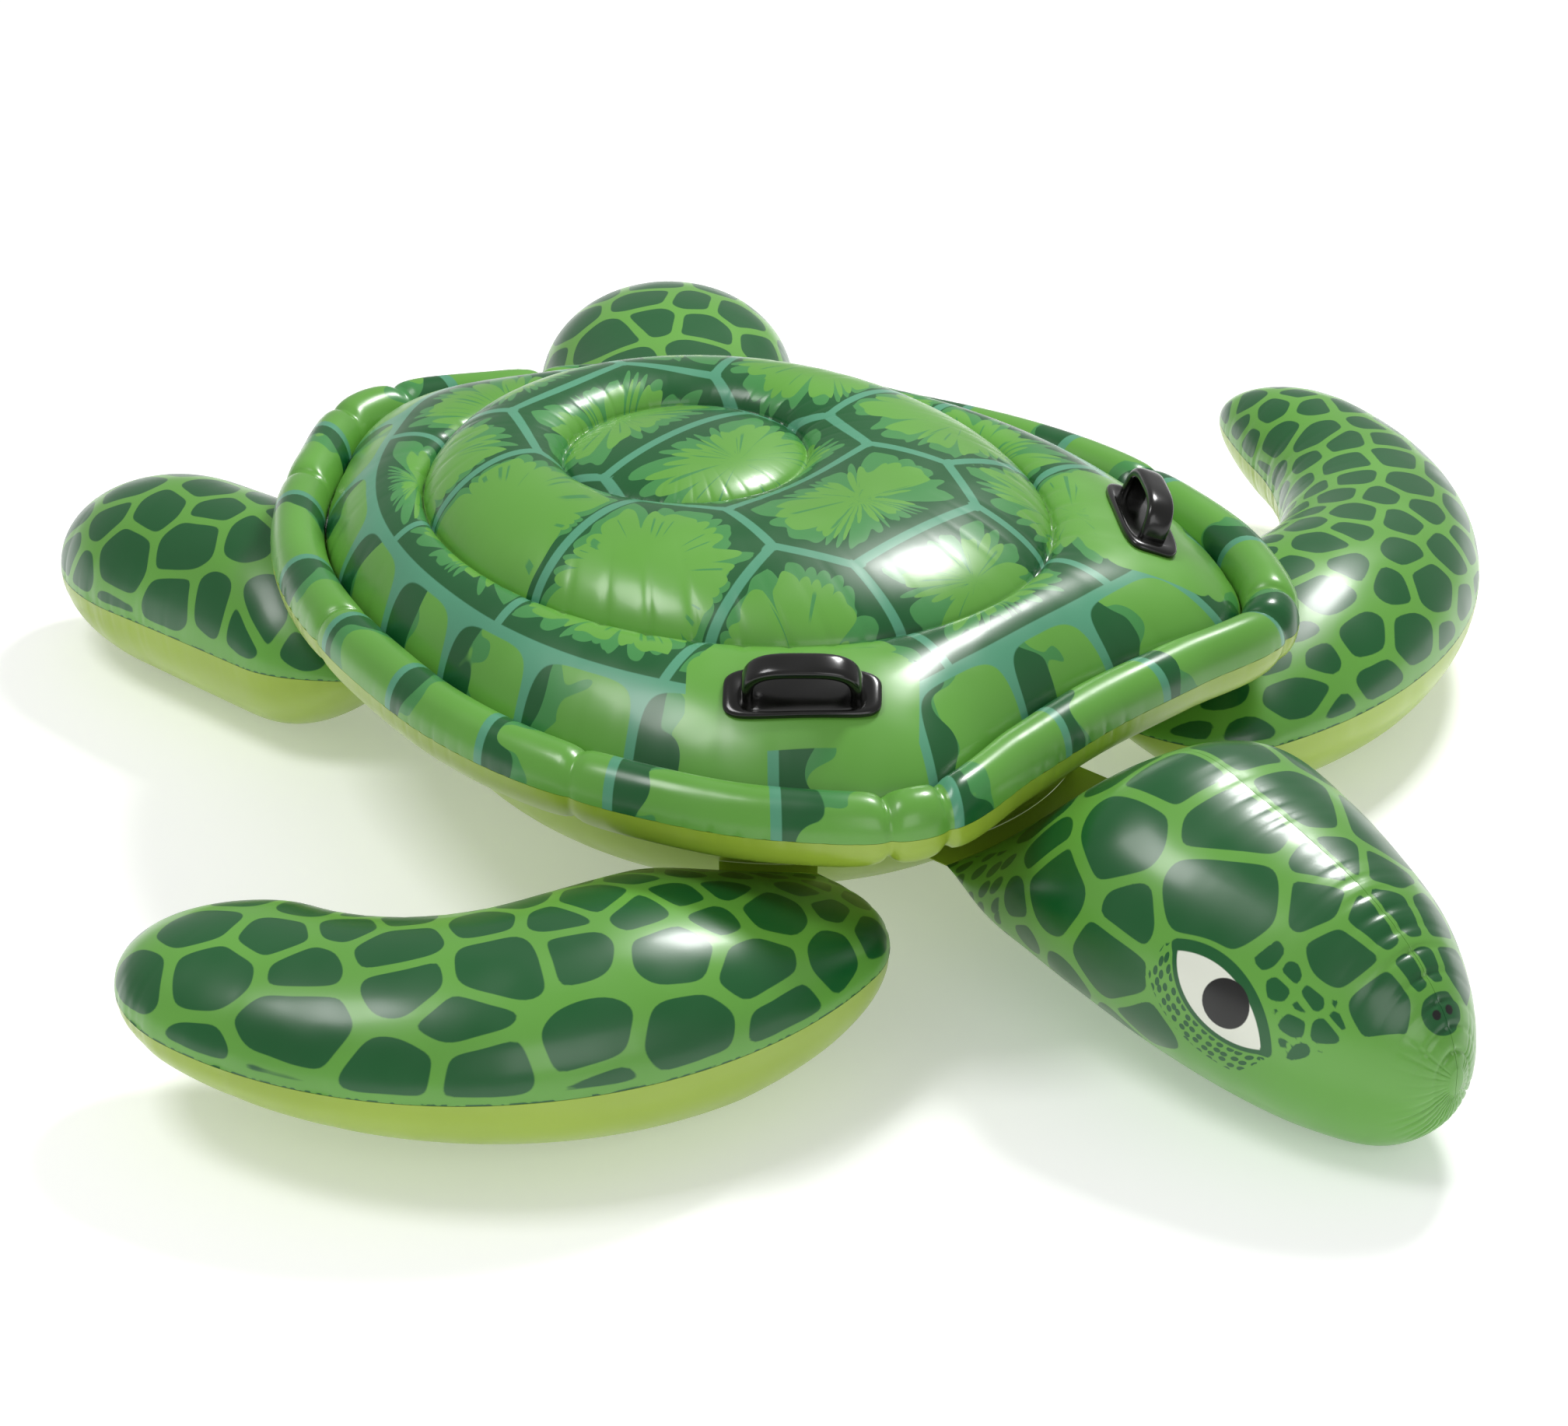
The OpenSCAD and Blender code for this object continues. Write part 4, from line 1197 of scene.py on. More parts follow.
@dataclass
class Flipper:
    """One flipper: a bent spine with a half ellipse above and below its seam, in millimetres and degrees."""

    shell: Shell
    name: str
    side: Side
    root: float
    heading: float
    length: float
    width: float
    tip: float
    bend: float
    rise: float
    tip_rise: float
    tip_z: float
    swell: float
    tip_round: float
    # Mean sizes of the printed scales at the root, at mid-length and at the tip
    cells: tuple[float, float, float]
    # Shares of the length for root, near the root, mid-length and tip, and how far the size near the root has
    # come to mid-length's
    cell_shares: tuple[float, ...] = (0, 0.25, 0.6, 1)
    cell_ease: float = 0.7
    scale_gap: float = 6.2
    scale_hem: float = 5.5
    hem_corner: float = 2.5
    # Scales, as shares of their mean size: rounding, stray of the middles, radii, the circle that holds one,
    # and how far beyond the skin their rows go on
    scale_corner: float = 0.05
    scale_stray: float = 0.27
    scale_sizes: tuple[float, float] = (0.30, 0.56)
    scale_hold: tuple[float, float] = (0.42, 0.7)
    scale_beyond: float = 1.5
    hinge_l: float = 70
    keel_swell: float = 120
    root_flare: float = 95
    floor_gap: float = 2.5
    # Puckers along the seam, paces of its two edges, phases for a side and for a millimetre of length, and
    # the strip beside the seam over which they grow
    folds: tuple[Pucker, ...] = (Pucker(1.1, 13, 0, 11), Pucker(0.7, 7, 0, 11), Pucker(1.5, 41, 1, 30))
    fold_pace: tuple[float, float] = (0.8, 1.2)
    fold_seed: tuple[float, float] = (1.3, 0.01)
    fold_hem: float = 2.0
    # Grid: rows, then points across the upper and the lower skin
    grid: tuple[int, int, int] = (221, 97, 57)

    def outward(self, a: float) -> float:
        """Returns an angle of the left side for this flipper's side."""
        return a if self.side is Side.LEFT else 180 - a

    def grown(self, t: np.ndarray, reach: float) -> np.ndarray:
        """Returns a quarter sine that grows from 0 at the hinge to 1 at a distance."""
        return np.sin(np.pi / 2 * np.minimum(t * self.length / reach, 1))

    def tip_fade(self, t: np.ndarray) -> np.ndarray:
        """Returns a quarter ellipse that closes the tip."""
        return np.sqrt(1 - grows(t, 1 - self.tip_round, self.tip_round) ** 2)

    def half_width(self, t: np.ndarray) -> np.ndarray:
        """Returns half the width along the flipper."""
        blade = mix(self.width, self.tip, t) / 2
        return mix(self.hinge_l / 2, blade, self.grown(t, self.root_flare)) * self.tip_fade(t)

    def seam_z(self, t: np.ndarray) -> np.ndarray:
        """Returns the seam's height, which leaves the hinge level and ends at the tip's height."""
        return mix(self.shell.hinge_z, self.tip_z, t * t)

    def rise_at(self, t: np.ndarray, half: Half) -> np.ndarray:
        """How far a skin stands off the seam: it grows from the hinge, tapers and closes at the tip.

        Args:
            t: shares along the flipper.
            half: the upper or the lower skin.

        Returns:
            The height of the upper skin, or the depth of the lower one, which stays off the floor.
        """
        full, swell = mix(self.rise, self.tip_rise, t), self.swell
        if half is Half.BOTTOM:
            full, swell = np.minimum(full, self.seam_z(t) - self.floor_gap), self.keel_swell
        return np.maximum(full * self.grown(t, swell), self.shell.tab_t / 2) * self.tip_fade(t)

    def spine(self, t: np.ndarray) -> tuple[np.ndarray, np.ndarray]:
        """The flipper's spine in plan: an arc of its length that leaves the hinge in its heading.

        Args:
            t: shares along the flipper.

        Returns:
            Points of the spine, and unit vectors across it.
        """
        side, start = self.side.value, math.radians(self.heading)
        turn = np.radians(self.heading + self.bend * t)
        hinge = self.shell.hinge(self.outward(self.root), self.outward(self.heading), self.hinge_l)
        x, y = side * (np.sin(turn) - math.sin(start)), math.cos(start) - np.cos(turn)
        points = hinge + self.length / math.radians(self.bend) * np.stack([x, y], -1)
        return points, np.stack([side * np.sin(turn), -np.cos(turn)], -1)

    def skin(self, half: Half) -> Patch:
        """One skin: half ellipses carried along the spine, with puckers along the seam.

        Args:
            half: the upper or the lower skin.

        Returns:
            The surface, on the upper side with the distances of its print.
        """
        rows, above, below = self.grid
        share = np.sin(np.pi / 2 * np.linspace(0, 1, rows))
        b, t = np.meshgrid(np.linspace(0, np.pi, above if half is Half.TOP else below), share)
        spine, out = self.spine(t)
        plan = spine + (self.half_width(t) * np.cos(b))[..., None] * out
        z, off = self.seam_z(t), self.shell.gap / 2 + self.rise_at(t, half) * np.sin(b)
        points = lift(plan, z + half.value * off)
        patch = Patch(f"{self.name}_{half.name.lower()}_skin", points, lift(spine, z), last_pole=True)
        across = row_run(points)
        girth = across[:, -1:]
        seam = np.minimum(across, girth - across)
        patch.press(self.pucker_depths(t, b, seam))
        if half is Half.TOP:
            patch.values = {"seam": seam * MM, "scale": self.scale_values(t, across - girth / 2, seam) * MM}
        return patch

    def pucker_depths(self, t: np.ndarray, b: np.ndarray, seam: np.ndarray) -> np.ndarray:
        """Depths of the puckers, which leave the seam itself and the tip as they are.

        Args:
            t: shares along the flipper.
            b: angles across it, in radians.
            seam: distances from the seam.

        Returns:
            Depths in millimetres.
        """
        fine, finest, broad = self.folds
        arc = t * self.length * np.where(b < np.pi / 2, *self.fold_pace)
        seed = self.side.value * self.fold_seed[0] + self.length * self.fold_seed[1]
        depth = fine.valleys(arc, seam, seed) + finest.valleys(arc, seam, 2 * seed)
        depth += broad.valleys(arc, seam, seed)
        return depth * grows(seam, 0, self.fold_hem) * self.tip_fade(t)

    def scale_values(self, t: np.ndarray, across: np.ndarray, seam: np.ndarray) -> np.ndarray:
        """Distances inside the printed scales: rounded cells of stray points in staggered rows.

        Args:
            t: shares along the flipper.
            across: distances across the skin from its middle.
            seam: distances from the seam.

        Returns:
            The distances from the nearest scale's border, in millimetres.
        """
        root, mid, tip = self.cells
        sizes = (root, mix(root, mid, self.cell_ease), mid, tip)
        size = np.interp(t[:, 0], self.cell_shares, sizes)[:, None]
        along = np.concatenate([[0], np.cumsum(np.diff(t[:, 0]) * self.length / size[1:, 0])])
        place = np.stack([along[:, None] + 0 * across, across / size], -1)
        low, high = place.min((0, 1)) - self.scale_beyond, place.max((0, 1)) + self.scale_beyond
        i, j = np.meshgrid(np.arange(low[0], high[0]), np.arange(low[1], high[1]))
        rng = np.random.default_rng(int(self.length))
        centre = np.stack([i, j + 0.5 * (np.arange(i.shape[1]) % 2)], -1).reshape(-1, 2)
        centre = centre + rng.uniform(-self.scale_stray, self.scale_stray, centre.shape)
        cell = rng.uniform(*self.scale_sizes, len(centre))
        inside, own = cell_values(place, centre, cell, np.full(len(centre), self.scale_corner))
        least, more = self.scale_hold
        hold = least + more * cell[own] - np.linalg.norm(place - centre[own], axis=-1)
        inside = soft_min(self.scale_corner, inside, hold) * size - self.scale_gap / 2
        return soft_min(self.hem_corner, inside, seam - self.scale_hem)

    def build(self, wardrobe: Wardrobe) -> None:
        """Builds the flipper's two skins and its weld tab.

        Args:
            wardrobe: the finishes.
        """
        name, shell, lime = self.name, self.shell, wardrobe.lime
        top, bottom = (self.skin(half).build(shell.gauge) for half in (Half.TOP, Half.BOTTOM))
        install(top, wardrobe.flipper, name + "_flipper", name + "_top")
        install(bottom, lime, name + "_flipper", name + "_bottom")
        tab = shell.tab(name + "_weld", self.outward(self.root), self.outward(self.heading), self.hinge_l)
        install(tab.build(shell.tab_t), lime, "shell", name + "_tab")


@dataclass
class Head:
    """The head and neck: two side panels between the crown's and the throat's welds, in millimetres.

    A place on a side panel is a share along the stations and an angle down from the crown, in degrees.
    """

    shell: Shell
    length: float = 415
    width: float = 242
    height: float = 214
    turn: float = 10
    hinge_l: float = 180
    neck_gap: float = 24
    floor_gap: float = 2.5
    # Eye: places of its corners, bow of the almond and reach of all its marks as shares of half its length
    eye_back: tuple[float, float] = (0.504, 67.7)
    eye_front: tuple[float, float] = (0.652, 89.7)
    eye_bow: float = 0.46
    eye_reach: float = 3.0
    # Pupil with the angle above it that tells which way is up, and nostril
    pupil_place: tuple[float, float] = (0.589, 77.2)
    pupil_r: float = 17.5
    pupil_up: float = 5.0
    nostril_place: tuple[float, float] = (0.868, 9.0)
    nostril_r: float = 3.4
    # Lid below and above the eye, and the height over which one passes into the other
    lid: tuple[float, float] = (3.5, 8.0)
    lid_blend: float = 8.0
    # Band of beads under the eye: width, least width beside the lid, how far past the corners it starts and
    # ends and over how much, and the beads' distances from its border and from the lid
    bead_band: float = 25
    band_least: float = 2.5
    band_back: tuple[float, float] = (12, 8)
    band_front: tuple[float, float] = (8, 10)
    bead_hem: tuple[float, float] = (2, 1.5)
    # Spacings of the beads along and across the band and the neck
    eye_beads: tuple[float, float] = (6.6, 5.6)
    neck_beads: tuple[float, float] = (26.0, 17.0)
    # Neck's beads: the share where they end, the angles between which they lie, millimetres for a share and
    # for a degree there, and their distance from the plates
    neck_end: float = 0.185
    neck_angles: tuple[float, float] = (52, 140)
    neck_scale: tuple[float, float] = (300, 300 / 190)
    neck_hem: float = 2.0
    # Bare jaw: shares, the angles at which it starts there, and millimetres for a degree
    jaw_line: tuple[tuple[float, ...], tuple[float, ...]] = (
        (0, 0.3, 0.45, 0.6, 0.74, 0.84, 1.0), (150, 140, 126, 112, 80, 48, 26),
    )
    jaw_scale: float = 1.6
    # Plates of a side as places with a radius, then the small scales round the eye
    plates: tuple[tuple[float, float, float], ...] = (
        (0.165, 36, 22), (0.235, 13, 26), (0.350, 15, 31), (0.362, 43, 33), (0.300, 73, 28), (0.466, 17, 38),
        (0.522, 42, 44), (0.428, 66, 18), (0.416, 90, 28), (0.464, 110, 22), (0.618, 22, 22), (0.577, 7, 18),
        (0.702, 9, 20), (0.710, 34, 25), (0.786, 40, 24), (0.796, 7, 12), (0.866, 0, 13), (0.326, 116, 19),
        (0.400, 130, 24), (0.245, 56, 20), (0.222, 84, 13), (0.250, 104, 11), (0.500, 132, 20),
        (0.506, 62, 7), (0.556, 58.5, 9.5), (0.616, 52, 11), (0.604, 60, 5), (0.660, 53, 7),
        (0.652, 61.5, 11), (0.626, 65, 4.5), (0.704, 56, 9.5), (0.660, 69, 4.5), (0.692, 63.5, 6),
        (0.690, 72.5, 10), (0.734, 69, 9.5), (0.710, 84, 9), (0.684, 81, 4.5), (0.742, 80, 5.5),
        (0.748, 60, 6), (0.732, 51, 5),
    )
    # Plates by their radius: rounding with its limits, the circle that holds one, half the gap with its
    # limits, and the rounding where other marks cut them
    plate_round: tuple[float, float, float] = (0.08, 0.35, 3.2)
    plate_hold: tuple[float, float] = (1.4, 1.0)
    plate_gap: tuple[float, float, float, float] = (0.10, 0.5, 0.8, 3.6)
    plate_corner: float = 2.5
    # Puckers of the crown and the throat, and wrinkles that run in to the snout
    crown_folds: Pucker = Pucker(5.0, 16, 0.7, 20)
    throat_folds: Pucker = Pucker(1.0, 9, 1.9, 12)
    snout_folds: Pucker = Pucker(3.4, 13, 2.6)
    # Where the crown's and the snout's start and over how much, by share and by angle
    crown_start: tuple[float, float] = (0.36, 0.12)
    snout_start: tuple[float, float] = (0.83, 0.08)
    snout_angles: tuple[float, float] = (35, 30)
    # Millimetres for a degree at the snout, the strip beside a weld over which puckers grow, their share at
    # the crown's weld, and the share before the nose's tip over which all fade
    snout_scale: float = 1.1
    fold_hem: float = 2.0
    crown_least: float = 0.3
    nose_fade: float = 0.03
    # Grid: rows, then points from crown to throat
    grid: tuple[int, int] = (170, 97)

    def stations(self) -> np.ndarray:
        """The head's sections, from the hinge to the nose.

        Returns:
            Rows of share of length, top, bottom and share of half width.
        """
        shell, h, low = self.shell, self.height, self.floor_gap
        neck = shell.rim_z - shell.rim_h / 2 - self.neck_gap
        return np.array([
            (0, shell.hinge_z + shell.tab_t / 2, shell.hinge_z - shell.tab_t / 2, self.hinge_l / self.width),
            (0.13, neck, 0.2 * h, 0.88), (0.25, 0.86 * h, 0.13 * h, 0.96), (0.38, h, 0.08 * h, 1),
            (0.53, 0.965 * h, 0.04 * h, 0.955), (0.67, 0.905 * h, low, 0.845), (0.79, 0.835 * h, low, 0.705),
            (0.895, 0.72 * h, 0.05 * h, 0.49), (0.97, 0.56 * h, 0.18 * h, 0.25),
            (1, 0.42 * h, 0.33 * h, 0.05),
        ])

    def at(self, t: np.ndarray, b: np.ndarray, side: Side) -> np.ndarray:
        """Points of a side panel: half ellipses between the crown and the throat, along a spline.

        Args:
            t: shares along the stations.
            b: angles down from the crown, in radians.
            side: the panel's side.

        Returns:
            Points in space.
        """
        rows = self.stations()
        s = spline(rows, np.clip(t, 0, 1) * (len(rows) - 1))
        x = side.value * (self.shell.gap / 2 + s[..., 3] * self.width / 2 * np.sin(b))
        y, z = -s[..., 0] * self.length, mix(s[..., 2], s[..., 1], (1 + np.cos(b)) / 2)
        a = -math.radians(self.turn)
        hinge = self.shell.hinge(-90, -90 - self.turn, self.hinge_l)
        plan = np.stack([x * math.cos(a) - y * math.sin(a), x * math.sin(a) + y * math.cos(a)], -1)
        return lift(hinge + plan, z)

    def spot(self, place: tuple[float, float], side: Side) -> np.ndarray:
        """Returns one point of a side panel."""
        return self.at(np.array(place[0]), np.radians(np.array(place[1])), side)

    def eye_values(
        self, points: np.ndarray, side: Side
    ) -> tuple[dict[str, np.ndarray], np.ndarray, np.ndarray, np.ndarray]:
        """Distances of the printed eye and nose: an almond is where two circles through its corners overlap.

        Args:
            points: grid of the panel's points.
            side: the panel's side.

        Returns:
            Distances outside the almond, its lid, the pupil and the nostril, by name; distances outside the
            field that the plates leave clear; distances inside the row of beads; and the beads' own places,
            in spacings.
        """
        marked = (self.eye_back, self.eye_front, self.pupil_place, self.nostril_place)
        back, front, pupil, nostril = (self.spot(place, side) for place in marked)
        half = np.linalg.norm(front - back) / 2
        along = (front - back) / (2 * half)
        above = self.spot((self.pupil_place[0], self.pupil_place[1] - self.pupil_up), side) - pupil
        normal = np.cross(along, above)
        across = np.cross(normal / np.linalg.norm(normal), along)
        off = points - (front + back) / 2
        p, q = off @ along, off @ across
        bow = self.eye_bow * half
        radius = (half**2 + bow**2) / (2 * bow)
        from_pupil = np.linalg.norm(points - pupil, axis=-1)
        far = from_pupil > self.eye_reach * half
        almond = np.where(far, FAR, np.hypot(p, np.abs(q) + radius - bow) - radius)
        upper = grows(q, -self.lid_blend / 2, self.lid_blend)
        lid = mix(*self.lid, upper)
        (before, back_over), (after, front_over) = self.band_back, self.band_front
        below = (1 - upper) * grows(p, -half - before, back_over) * grows(-p, -half - after, front_over)
        band = mix(lid + self.band_least, self.bead_band, below)
        marks = {
            "eye": almond, "lid": almond - lid, "pupil": from_pupil - self.pupil_r,
            "nostril": np.linalg.norm(points - nostril, axis=-1) - self.nostril_r,
        }
        row = np.minimum(band - self.bead_hem[0] - almond, almond - lid - self.bead_hem[1])
        return marks, almond - band, np.where(far, -1, row), np.stack([p, almond], -1) / self.eye_beads

    def plate_values(self, points: np.ndarray) -> np.ndarray:
        """Distances inside the plates: rounded cells, each also held within a circle round its middle.

        Args:
            points: grid of a panel's points.

        Returns:
            Distances from the nearest plate's border, in millimetres.
        """
        t, b, r = np.array(self.plates).T
        centre = np.concatenate([self.at(t, np.radians(b), side) for side in Side])
        size = np.concatenate([r, r])
        bend, *bend_ends = self.plate_round
        corner = np.clip(bend * size, *bend_ends)
        inside, own = cell_values(points, centre, size, corner)
        (hold, more), (gap, gap_more, *gap_ends) = self.plate_hold, self.plate_gap
        held = hold * size[own] + more - np.linalg.norm(points - centre[own], axis=-1)
        return soft_min(corner[own], inside, held) - np.clip(gap * size[own] + gap_more, *gap_ends)

    def print_values(
        self, points: np.ndarray, t: np.ndarray, down: np.ndarray, run: np.ndarray, side: Side
    ) -> dict[str, np.ndarray]:
        """Distances that a panel's print is drawn from.

        Args:
            points: grid of the panel's points.
            t: their shares along the stations.
            down: their angles down from the crown, in degrees.
            run: their distances along and across the panel.
            side: the panel's side.

        Returns:
            Grids of values by name, with distances in metres.
        """
        marks, clear, row, place = self.eye_values(points, side)
        jaw = (np.interp(t, *self.jaw_line) - down) * self.jaw_scale
        (low, high), (per_share, per_degree) = self.neck_angles, self.neck_scale
        neck = np.minimum((self.neck_end - t) * per_share, np.minimum(down - low, high - down) * per_degree)
        plate = soft_min(self.plate_corner, self.plate_values(points), jaw, clear, -neck)
        grids = marks | {"plate": plate, "beads": np.maximum(row, neck - self.neck_hem)}
        place = np.where((neck > 0)[..., None], run / self.neck_beads, place)
        return {name: grid * MM for name, grid in grids.items()} | {"bead_place": lift(place, 0 * t)}

    def pucker_depths(self, t: np.ndarray, down: np.ndarray, run: np.ndarray, side: Side) -> np.ndarray:
        """Depths of the crown's and the throat's puckers and of the snout's wrinkles.

        Args:
            t: shares along the stations.
            down: angles down from the crown, in degrees.
            run: distances along and across the panel.
            side: the panel's side.

        Returns:
            Depths in millimetres, which fade out at the nose's tip.
        """
        along, crown = run[..., 0], run[..., 1]
        throat = crown[:, -1:] - crown
        front = grows(t, *self.crown_start) * np.clip(crown / self.fold_hem, self.crown_least, 1)
        depth = self.crown_folds.valleys(along, crown) * front
        depth += self.throat_folds.valleys(along, throat, side.value) * grows(throat, 0, self.fold_hem)
        snout = grows(t, *self.snout_start) * grows(down, *self.snout_angles)
        depth += self.snout_folds.valleys(down * self.snout_scale) * snout
        return depth * grows(1 - t, 0, self.nose_fade)

    def panel(self, side: Side) -> Patch:
        """A side panel, closed at the nose, with its puckers and the distances of its print.

        Args:
            side: the panel's side.

        Returns:
            The surface.
        """
        rows, count = self.grid
        b, t = np.meshgrid(np.linspace(0, np.pi, count), np.append(np.linspace(0, 1, rows), 1.0))
        points = self.at(t, b, side)
        points[-1] = (points[-2, 0] + points[-2, -1]) / 2
        middle = (points[:, :1] + points[:, -1:]) / 2
        patch = Patch(f"head_{side.name.lower()}_skin", points, middle, last_pole=True)
        along = row_run(points[None, :, 0])[0][:, None] + 0 * b
        run, down = np.stack([along, row_run(points)], -1), np.degrees(b)
        patch.values = self.print_values(points, t, down, run, side)
        patch.press(self.pucker_depths(t, down, run, side))
        return patch

    def build(self, wardrobe: Wardrobe) -> None:
        """Builds the head's two panels and the neck's weld tab.

        Args:
            wardrobe: the finishes.
        """
        shell = self.shell
        for side in Side:
            panel = self.panel(side).build(shell.gauge)
            install(panel, wardrobe.head, "head", f"head_{side.name.lower()}_panel")
        tab = shell.tab("neck_weld", -90, -90 - self.turn, self.hinge_l)
        install(tab.build(shell.tab_t), wardrobe.lime, "shell", "neck_tab")


@dataclass
class Handles:
    """The two grab handles: a base moulded to the ring and a grip that arches over it, in millimetres."""

    shell: Shell
    x: float = 187.0
    y: float = 218.652
    turn: float = 41
    length: float = 109
    width: float = 40
    thick: float = 3
    lip: float = 1.6
    corner: float = 0.45
    grip_l: float = 84
    grip_h: float = 32
    grip_t: float = 9
    grip_w: float = 20
    bend: float = 0.6
    # Bare field in the print: margins along and across the base, and the rounding beyond them
    field_along: float = 12
    field_across: float = 6
    field_round: float = 14
    # Search for a place on the ring: rounds, and the steps in angle and share that slopes are taken over
    rounds: int = 6
    angle_step: float = 1.0
    share_step: float = 0.01
    # Grids: points round the base, then along and round the grip
    base_count: int = 120
    grip_grid: tuple[int, int] = (61, 28)

    def axes(self) -> tuple[np.ndarray, np.ndarray]:
        """Returns the left handle's directions along and across, in plan."""
        a = math.radians(self.turn)
        return np.array([-math.sin(a), -math.cos(a)]), np.array([math.cos(a), -math.sin(a)])

    def clearing(self, plan: np.ndarray) -> np.ndarray:
        """Distances outside the plain fields round both handles, rounded rectangles in plan.

        Args:
            plan: points in plan.

        Returns:
            Distances, below 0 inside a field.
        """
        along, across = self.axes()
        off = np.stack([np.abs(plan[..., 0]), plan[..., 1]], -1) - [self.x, -self.y]
        a = np.abs(off @ along) - (self.length / 2 + self.field_along)
        b = np.abs(off @ across) - (self.width / 2 + self.field_across)
        outside = np.hypot(np.maximum(a, 0), np.maximum(b, 0)) + np.minimum(np.maximum(a, b), 0)
        return outside - self.field_round

    def plan(self, a: np.ndarray, b: np.ndarray) -> np.ndarray:
        """Returns points in plan at distances along and across the left handle."""
        along, across = self.axes()
        return np.array([self.x, -self.y]) + a[..., None] * along + b[..., None] * across

    def over_ring(self, plan: np.ndarray, h: np.ndarray) -> np.ndarray:
        """Points above the padded ring, at a height along its normal; the place is found by Newton's method.

        Args:
            plan: points in plan.
            h: heights above the ring.

        Returns:
            Points in space.
        """
        at, du, dt = self.shell.ring_at, self.angle_step, self.share_step
        u, t = np.degrees(np.arctan2(plan[..., 1], plan[..., 0])), np.full(plan.shape[:-1], 0.5)
        for _ in range(self.rounds):
            q = at(u, t)
            by_u, by_t, miss = (at(u + du, t) - q) / du, (at(u, t + dt) - q) / dt, plan - q[..., :2]
            det = by_u[..., 0] * by_t[..., 1] - by_u[..., 1] * by_t[..., 0]
            u = u + (miss[..., 0] * by_t[..., 1] - miss[..., 1] * by_t[..., 0]) / det
            t = t + (by_u[..., 0] * miss[..., 1] - by_u[..., 1] * miss[..., 0]) / det
        n = np.cross(at(u, t + dt) - at(u, t - dt), at(u - du, t) - at(u + du, t))
        return at(u, t) + h[..., None] * n / np.linalg.norm(n, axis=-1, keepdims=True)

    def above(self, along: list[float], h: float) -> np.ndarray:
        """Returns points over the handle's middle line, at distances along it and one height."""
        a = np.array(along)
        return self.over_ring(self.plan(a, 0 * a), np.full_like(a, h))

    @staticmethod
    def squared(x: np.ndarray, power: float) -> np.ndarray:
        """Returns a cosine or sine drawn out towards 1, which squares a circle's corners."""
        return np.sign(x) * np.abs(x) ** power

    def base(self) -> Patch:
        """The base: a squared oval whose section runs over a raised lip, down the edge and back below.

        Returns:
            The surface, closed.
        """
        low, lip = self.shell.gap, self.lip
        top = low + self.thick
        section = np.array([
            (0, top), (0.3, top), (0.55, top), (0.74, top), (0.8, top + 0.4 * lip), (0.85, top + lip),
            (0.92, top + lip), (0.97, top + 0.7 * lip), (0.995, top), (1, low + 1.2), (0.99, low), (0.8, low),
            (0.4, low), (0, low),
        ])
        v, k = np.meshgrid(np.linspace(0, 2 * np.pi, self.base_count, endpoint=False), section[:, 0])
        a = k * self.length / 2 * self.squared(np.cos(v), self.corner)
        b = k * self.width / 2 * self.squared(np.sin(v), self.corner)
        points = self.over_ring(self.plan(a, b), np.broadcast_to(section[:, 1:], k.shape))
        centre = self.above([0.0], (top + low) / 2)[0]
        return Patch("base", points, centre, wrap=True, first_pole=True, last_pole=True)

    def grip(self) -> Patch:
        """The grip: a squared oval carried along a squared arch between its two feet.

        Returns:
            The surface, closed at the feet, which end inside the base.
        """
        reach, seat = (self.grip_l - self.grip_t) / 2, self.shell.gap + self.thick / 2
        first, last, middle = self.above([-reach, reach, 0.0], seat)
        up = self.above([0.0], seat + 1)[0] - middle
        across = np.cross((last - first) / np.linalg.norm(last - first), up)
        across /= np.linalg.norm(across)
        count, round_count = self.grip_grid
        b = np.pi * (0.5 - 0.5 * np.cos(np.pi * np.linspace(0, 1, count)))[:, None]
        path = mix(first, last, (1 - self.squared(np.cos(b), self.bend)) / 2)
        path = path + (self.grip_h - self.grip_t / 2) * self.squared(np.sin(b), self.bend) * up
        go = np.gradient(path, axis=0)
        go[0], go[-1] = up, -up
        out = np.cross(across, go / np.linalg.norm(go, axis=-1, keepdims=True))
        v = np.linspace(0, 2 * np.pi, round_count, endpoint=False)[:, None]
        wide = self.grip_w / 2 * self.squared(np.cos(v), self.bend)
        deep = self.grip_t / 2 * self.squared(np.sin(v), self.bend)
        centre = np.concatenate([path[:1], path, path[-1:]])[:, None]
        section = np.pad(wide * across + deep * out[:, None], ((1, 1), (0, 0), (0, 0)))
        return Patch("grip", centre + section, centre, wrap=True, first_pole=True, last_pole=True)

    def build(self, wardrobe: Wardrobe) -> None:
        """Builds both handles, each as one piece, the right one mirrored.

        Args:
            wardrobe: the finishes.
        """
        for side in Side:
            node, mirror, parts = f"handle_{side.name.lower()}", [side.value, 1, 1], []
            for patch in (self.base(), self.grip()):
                patch.points, patch.inside = patch.points * mirror, patch.inside * mirror
                parts.append(patch.build())
            with bpy.context.temp_override(active_object=parts[0], selected_editable_objects=parts):
                bpy.ops.object.join()
            parts[0].name = "grab_" + node
            install(parts[0], wardrobe.black, "shell", node)


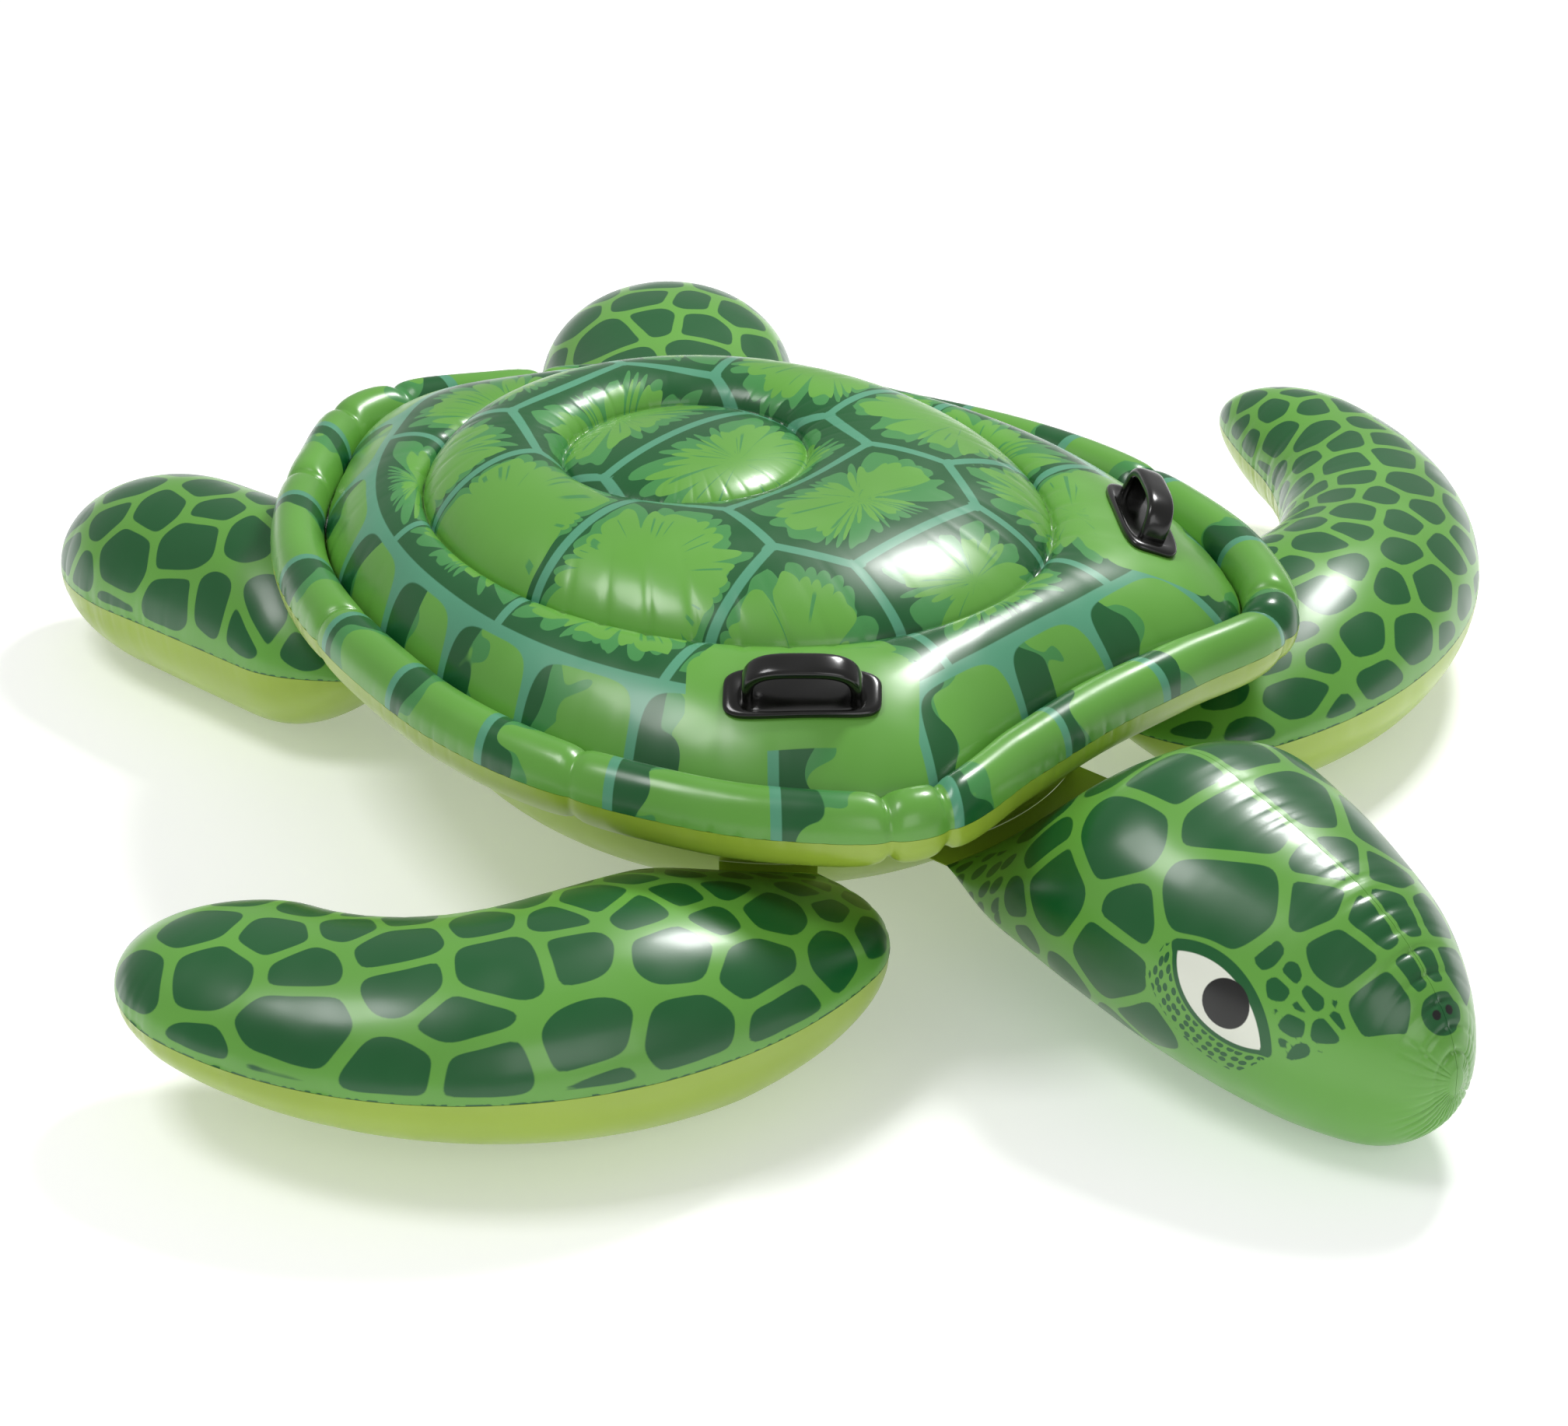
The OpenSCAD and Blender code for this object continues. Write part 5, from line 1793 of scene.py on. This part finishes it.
@dataclass
class Studio:
    """The pale floor, the soft lights and the camera at the photograph's angle, in metres and degrees."""

    azimuth: float = -47.5312
    elevation: float = 28.1515
    # Focal length and width of the photograph's frame, in its pixels
    focal: float = 5344.86
    frame_width: float = 2016
    distance: float = 3.0242
    target: tuple[float, float, float] = (-0.0879, -0.1110, 0.15)
    sensor: float = 36.0
    floor_size: float = 80.0
    floor_roughness: float = 0.9
    floor_glow: float = 0.27
    sky: float = 0.38
    # Lights: name, place, size and power
    lamps: tuple[tuple[str, tuple[float, float, float], float, float], ...] = (
        ("key", (1.75, 0.1, 2.5), 0.6, 60), ("left", (-1.2, 0.6, 2.6), 0.9, 26),
        ("front", (-1.4, -2.6, 1.5), 1.6, 16),
    )
    lamp_target: tuple[float, float, float] = (0, -0.1, 0.15)

    def camera(self) -> None:
        """Sets the camera, whose lens follows from the focal length in pixels of the photograph's frame."""
        a, e = math.radians(self.azimuth), math.radians(self.elevation)
        back = np.array([math.sin(a) * math.cos(e), -math.cos(a) * math.cos(e), math.sin(e)])
        data = bpy.data.cameras.new("camera")
        data.sensor_width = self.sensor
        data.lens = self.focal / self.frame_width * self.sensor
        obj = new_object("camera", data)
        obj.location = (np.array(self.target) + back * self.distance).tolist()
        obj.rotation_euler = (math.pi / 2 - e, 0, a)
        bpy.context.scene.camera = obj

    def lamp(self, name: str, place: tuple[float, float, float], size: float, power: float) -> None:
        """Adds a square soft light that faces the float.

        Args:
            name: the light's name.
            place: where it stands.
            size: length of its side.
            power: its power in watts.
        """
        data = bpy.data.lights.new(name, "AREA")
        data.size, data.energy = size, power
        obj = new_object(name, data)
        obj.location = place
        x, y, z = np.array(self.lamp_target) - place
        obj.rotation_euler = (math.acos(-z / math.hypot(x, y, z)), 0, math.atan2(y, x) - math.pi / 2)

    def floor(self) -> None:
        """Lays the floor, which isn't part of the float."""
        r = self.floor_size / 2
        mesh = bpy.data.meshes.new("floor")
        mesh.from_pydata([(-r, -r, 0), (r, -r, 0), (r, r, 0), (-r, r, 0)], [], [(0, 1, 2, 3)])
        pen = Pen("floor")
        pen.finish(Base_Color=Tint.FLOOR, Roughness=self.floor_roughness)
        pen.finish(Emission_Color=Tint.FLOOR, Emission_Strength=self.floor_glow)
        mesh.materials.append(pen.material)
        new_object("floor", mesh)

    def build(self) -> None:
        """Sets up the camera, the floor, an even white sky and the lights."""
        self.camera()
        self.floor()
        world = bpy.data.worlds.new("studio")
        world.use_nodes = True
        sky = world.node_tree.nodes["Background"].inputs
        sky["Color"].default_value, sky["Strength"].default_value = (1, 1, 1, 1), self.sky
        bpy.context.scene.world = world
        bpy.context.scene.view_settings.view_transform = "Standard"
        for lamp in self.lamps:
            self.lamp(*lamp)


def flippers(shell: Shell) -> list[Flipper]:
    """The four flippers, each pair with the sizes that its two have in common.

    Args:
        shell: the shell that they hang on.

    Returns:
        The flippers, the front ones first.
    """
    front = {
        "root": -45, "heading": -40, "rise": 100, "tip_rise": 42, "tip_z": 94, "swell": 265,
        "tip_round": 0.16,
    }
    rear = {"root": 60, "bend": 3, "rise": 90, "tip_rise": 78, "swell": 170, "tip_round": 0.35}
    return [
        Flipper(
            shell, "front_right", Side.RIGHT, length=565, width=232, tip=160, bend=148,
            cells=(26, 52, 50), **front,
        ),
        Flipper(
            shell, "front_left", Side.LEFT, length=672, width=256, tip=94, bend=132,
            cells=(26, 43, 38), **front,
        ),
        Flipper(
            shell, "rear_right", Side.RIGHT, heading=89, length=388, width=170, tip=174, tip_z=68,
            cells=(32, 52, 52), **rear,
        ),
        Flipper(
            shell, "rear_left", Side.LEFT, heading=41, length=412, width=166, tip=250, tip_z=125,
            cells=(32, 54, 54), **rear,
        ),
    ]


def dress_valves(wardrobe: Wardrobe) -> None:
    """Gives the valves' CAD nodes their finish.

    Args:
        wardrobe: the finishes.
    """
    for name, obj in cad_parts.items():
        if "_valve_" in name:
            obj.data.materials.clear()
            obj.data.materials.append(wardrobe.web if name.endswith("_flap") else wardrobe.valve)
            LOG.info("%s: CAD node dressed", name)


def main() -> None:
    """Builds the float in order: studio, shell, handles, flippers, head and valves."""
    logging.basicConfig(level=logging.INFO, format="%(name)s: %(message)s")
    Studio().build()
    wardrobe, shell = Wardrobe.make(), Shell()
    handles = Handles(shell)
    shell.build(wardrobe, handles)
    handles.build(wardrobe)
    for flipper in flippers(shell):
        flipper.build(wardrobe)
    Head(shell).build(wardrobe)
    dress_valves(wardrobe)


if __name__ == "__main__":
    main()
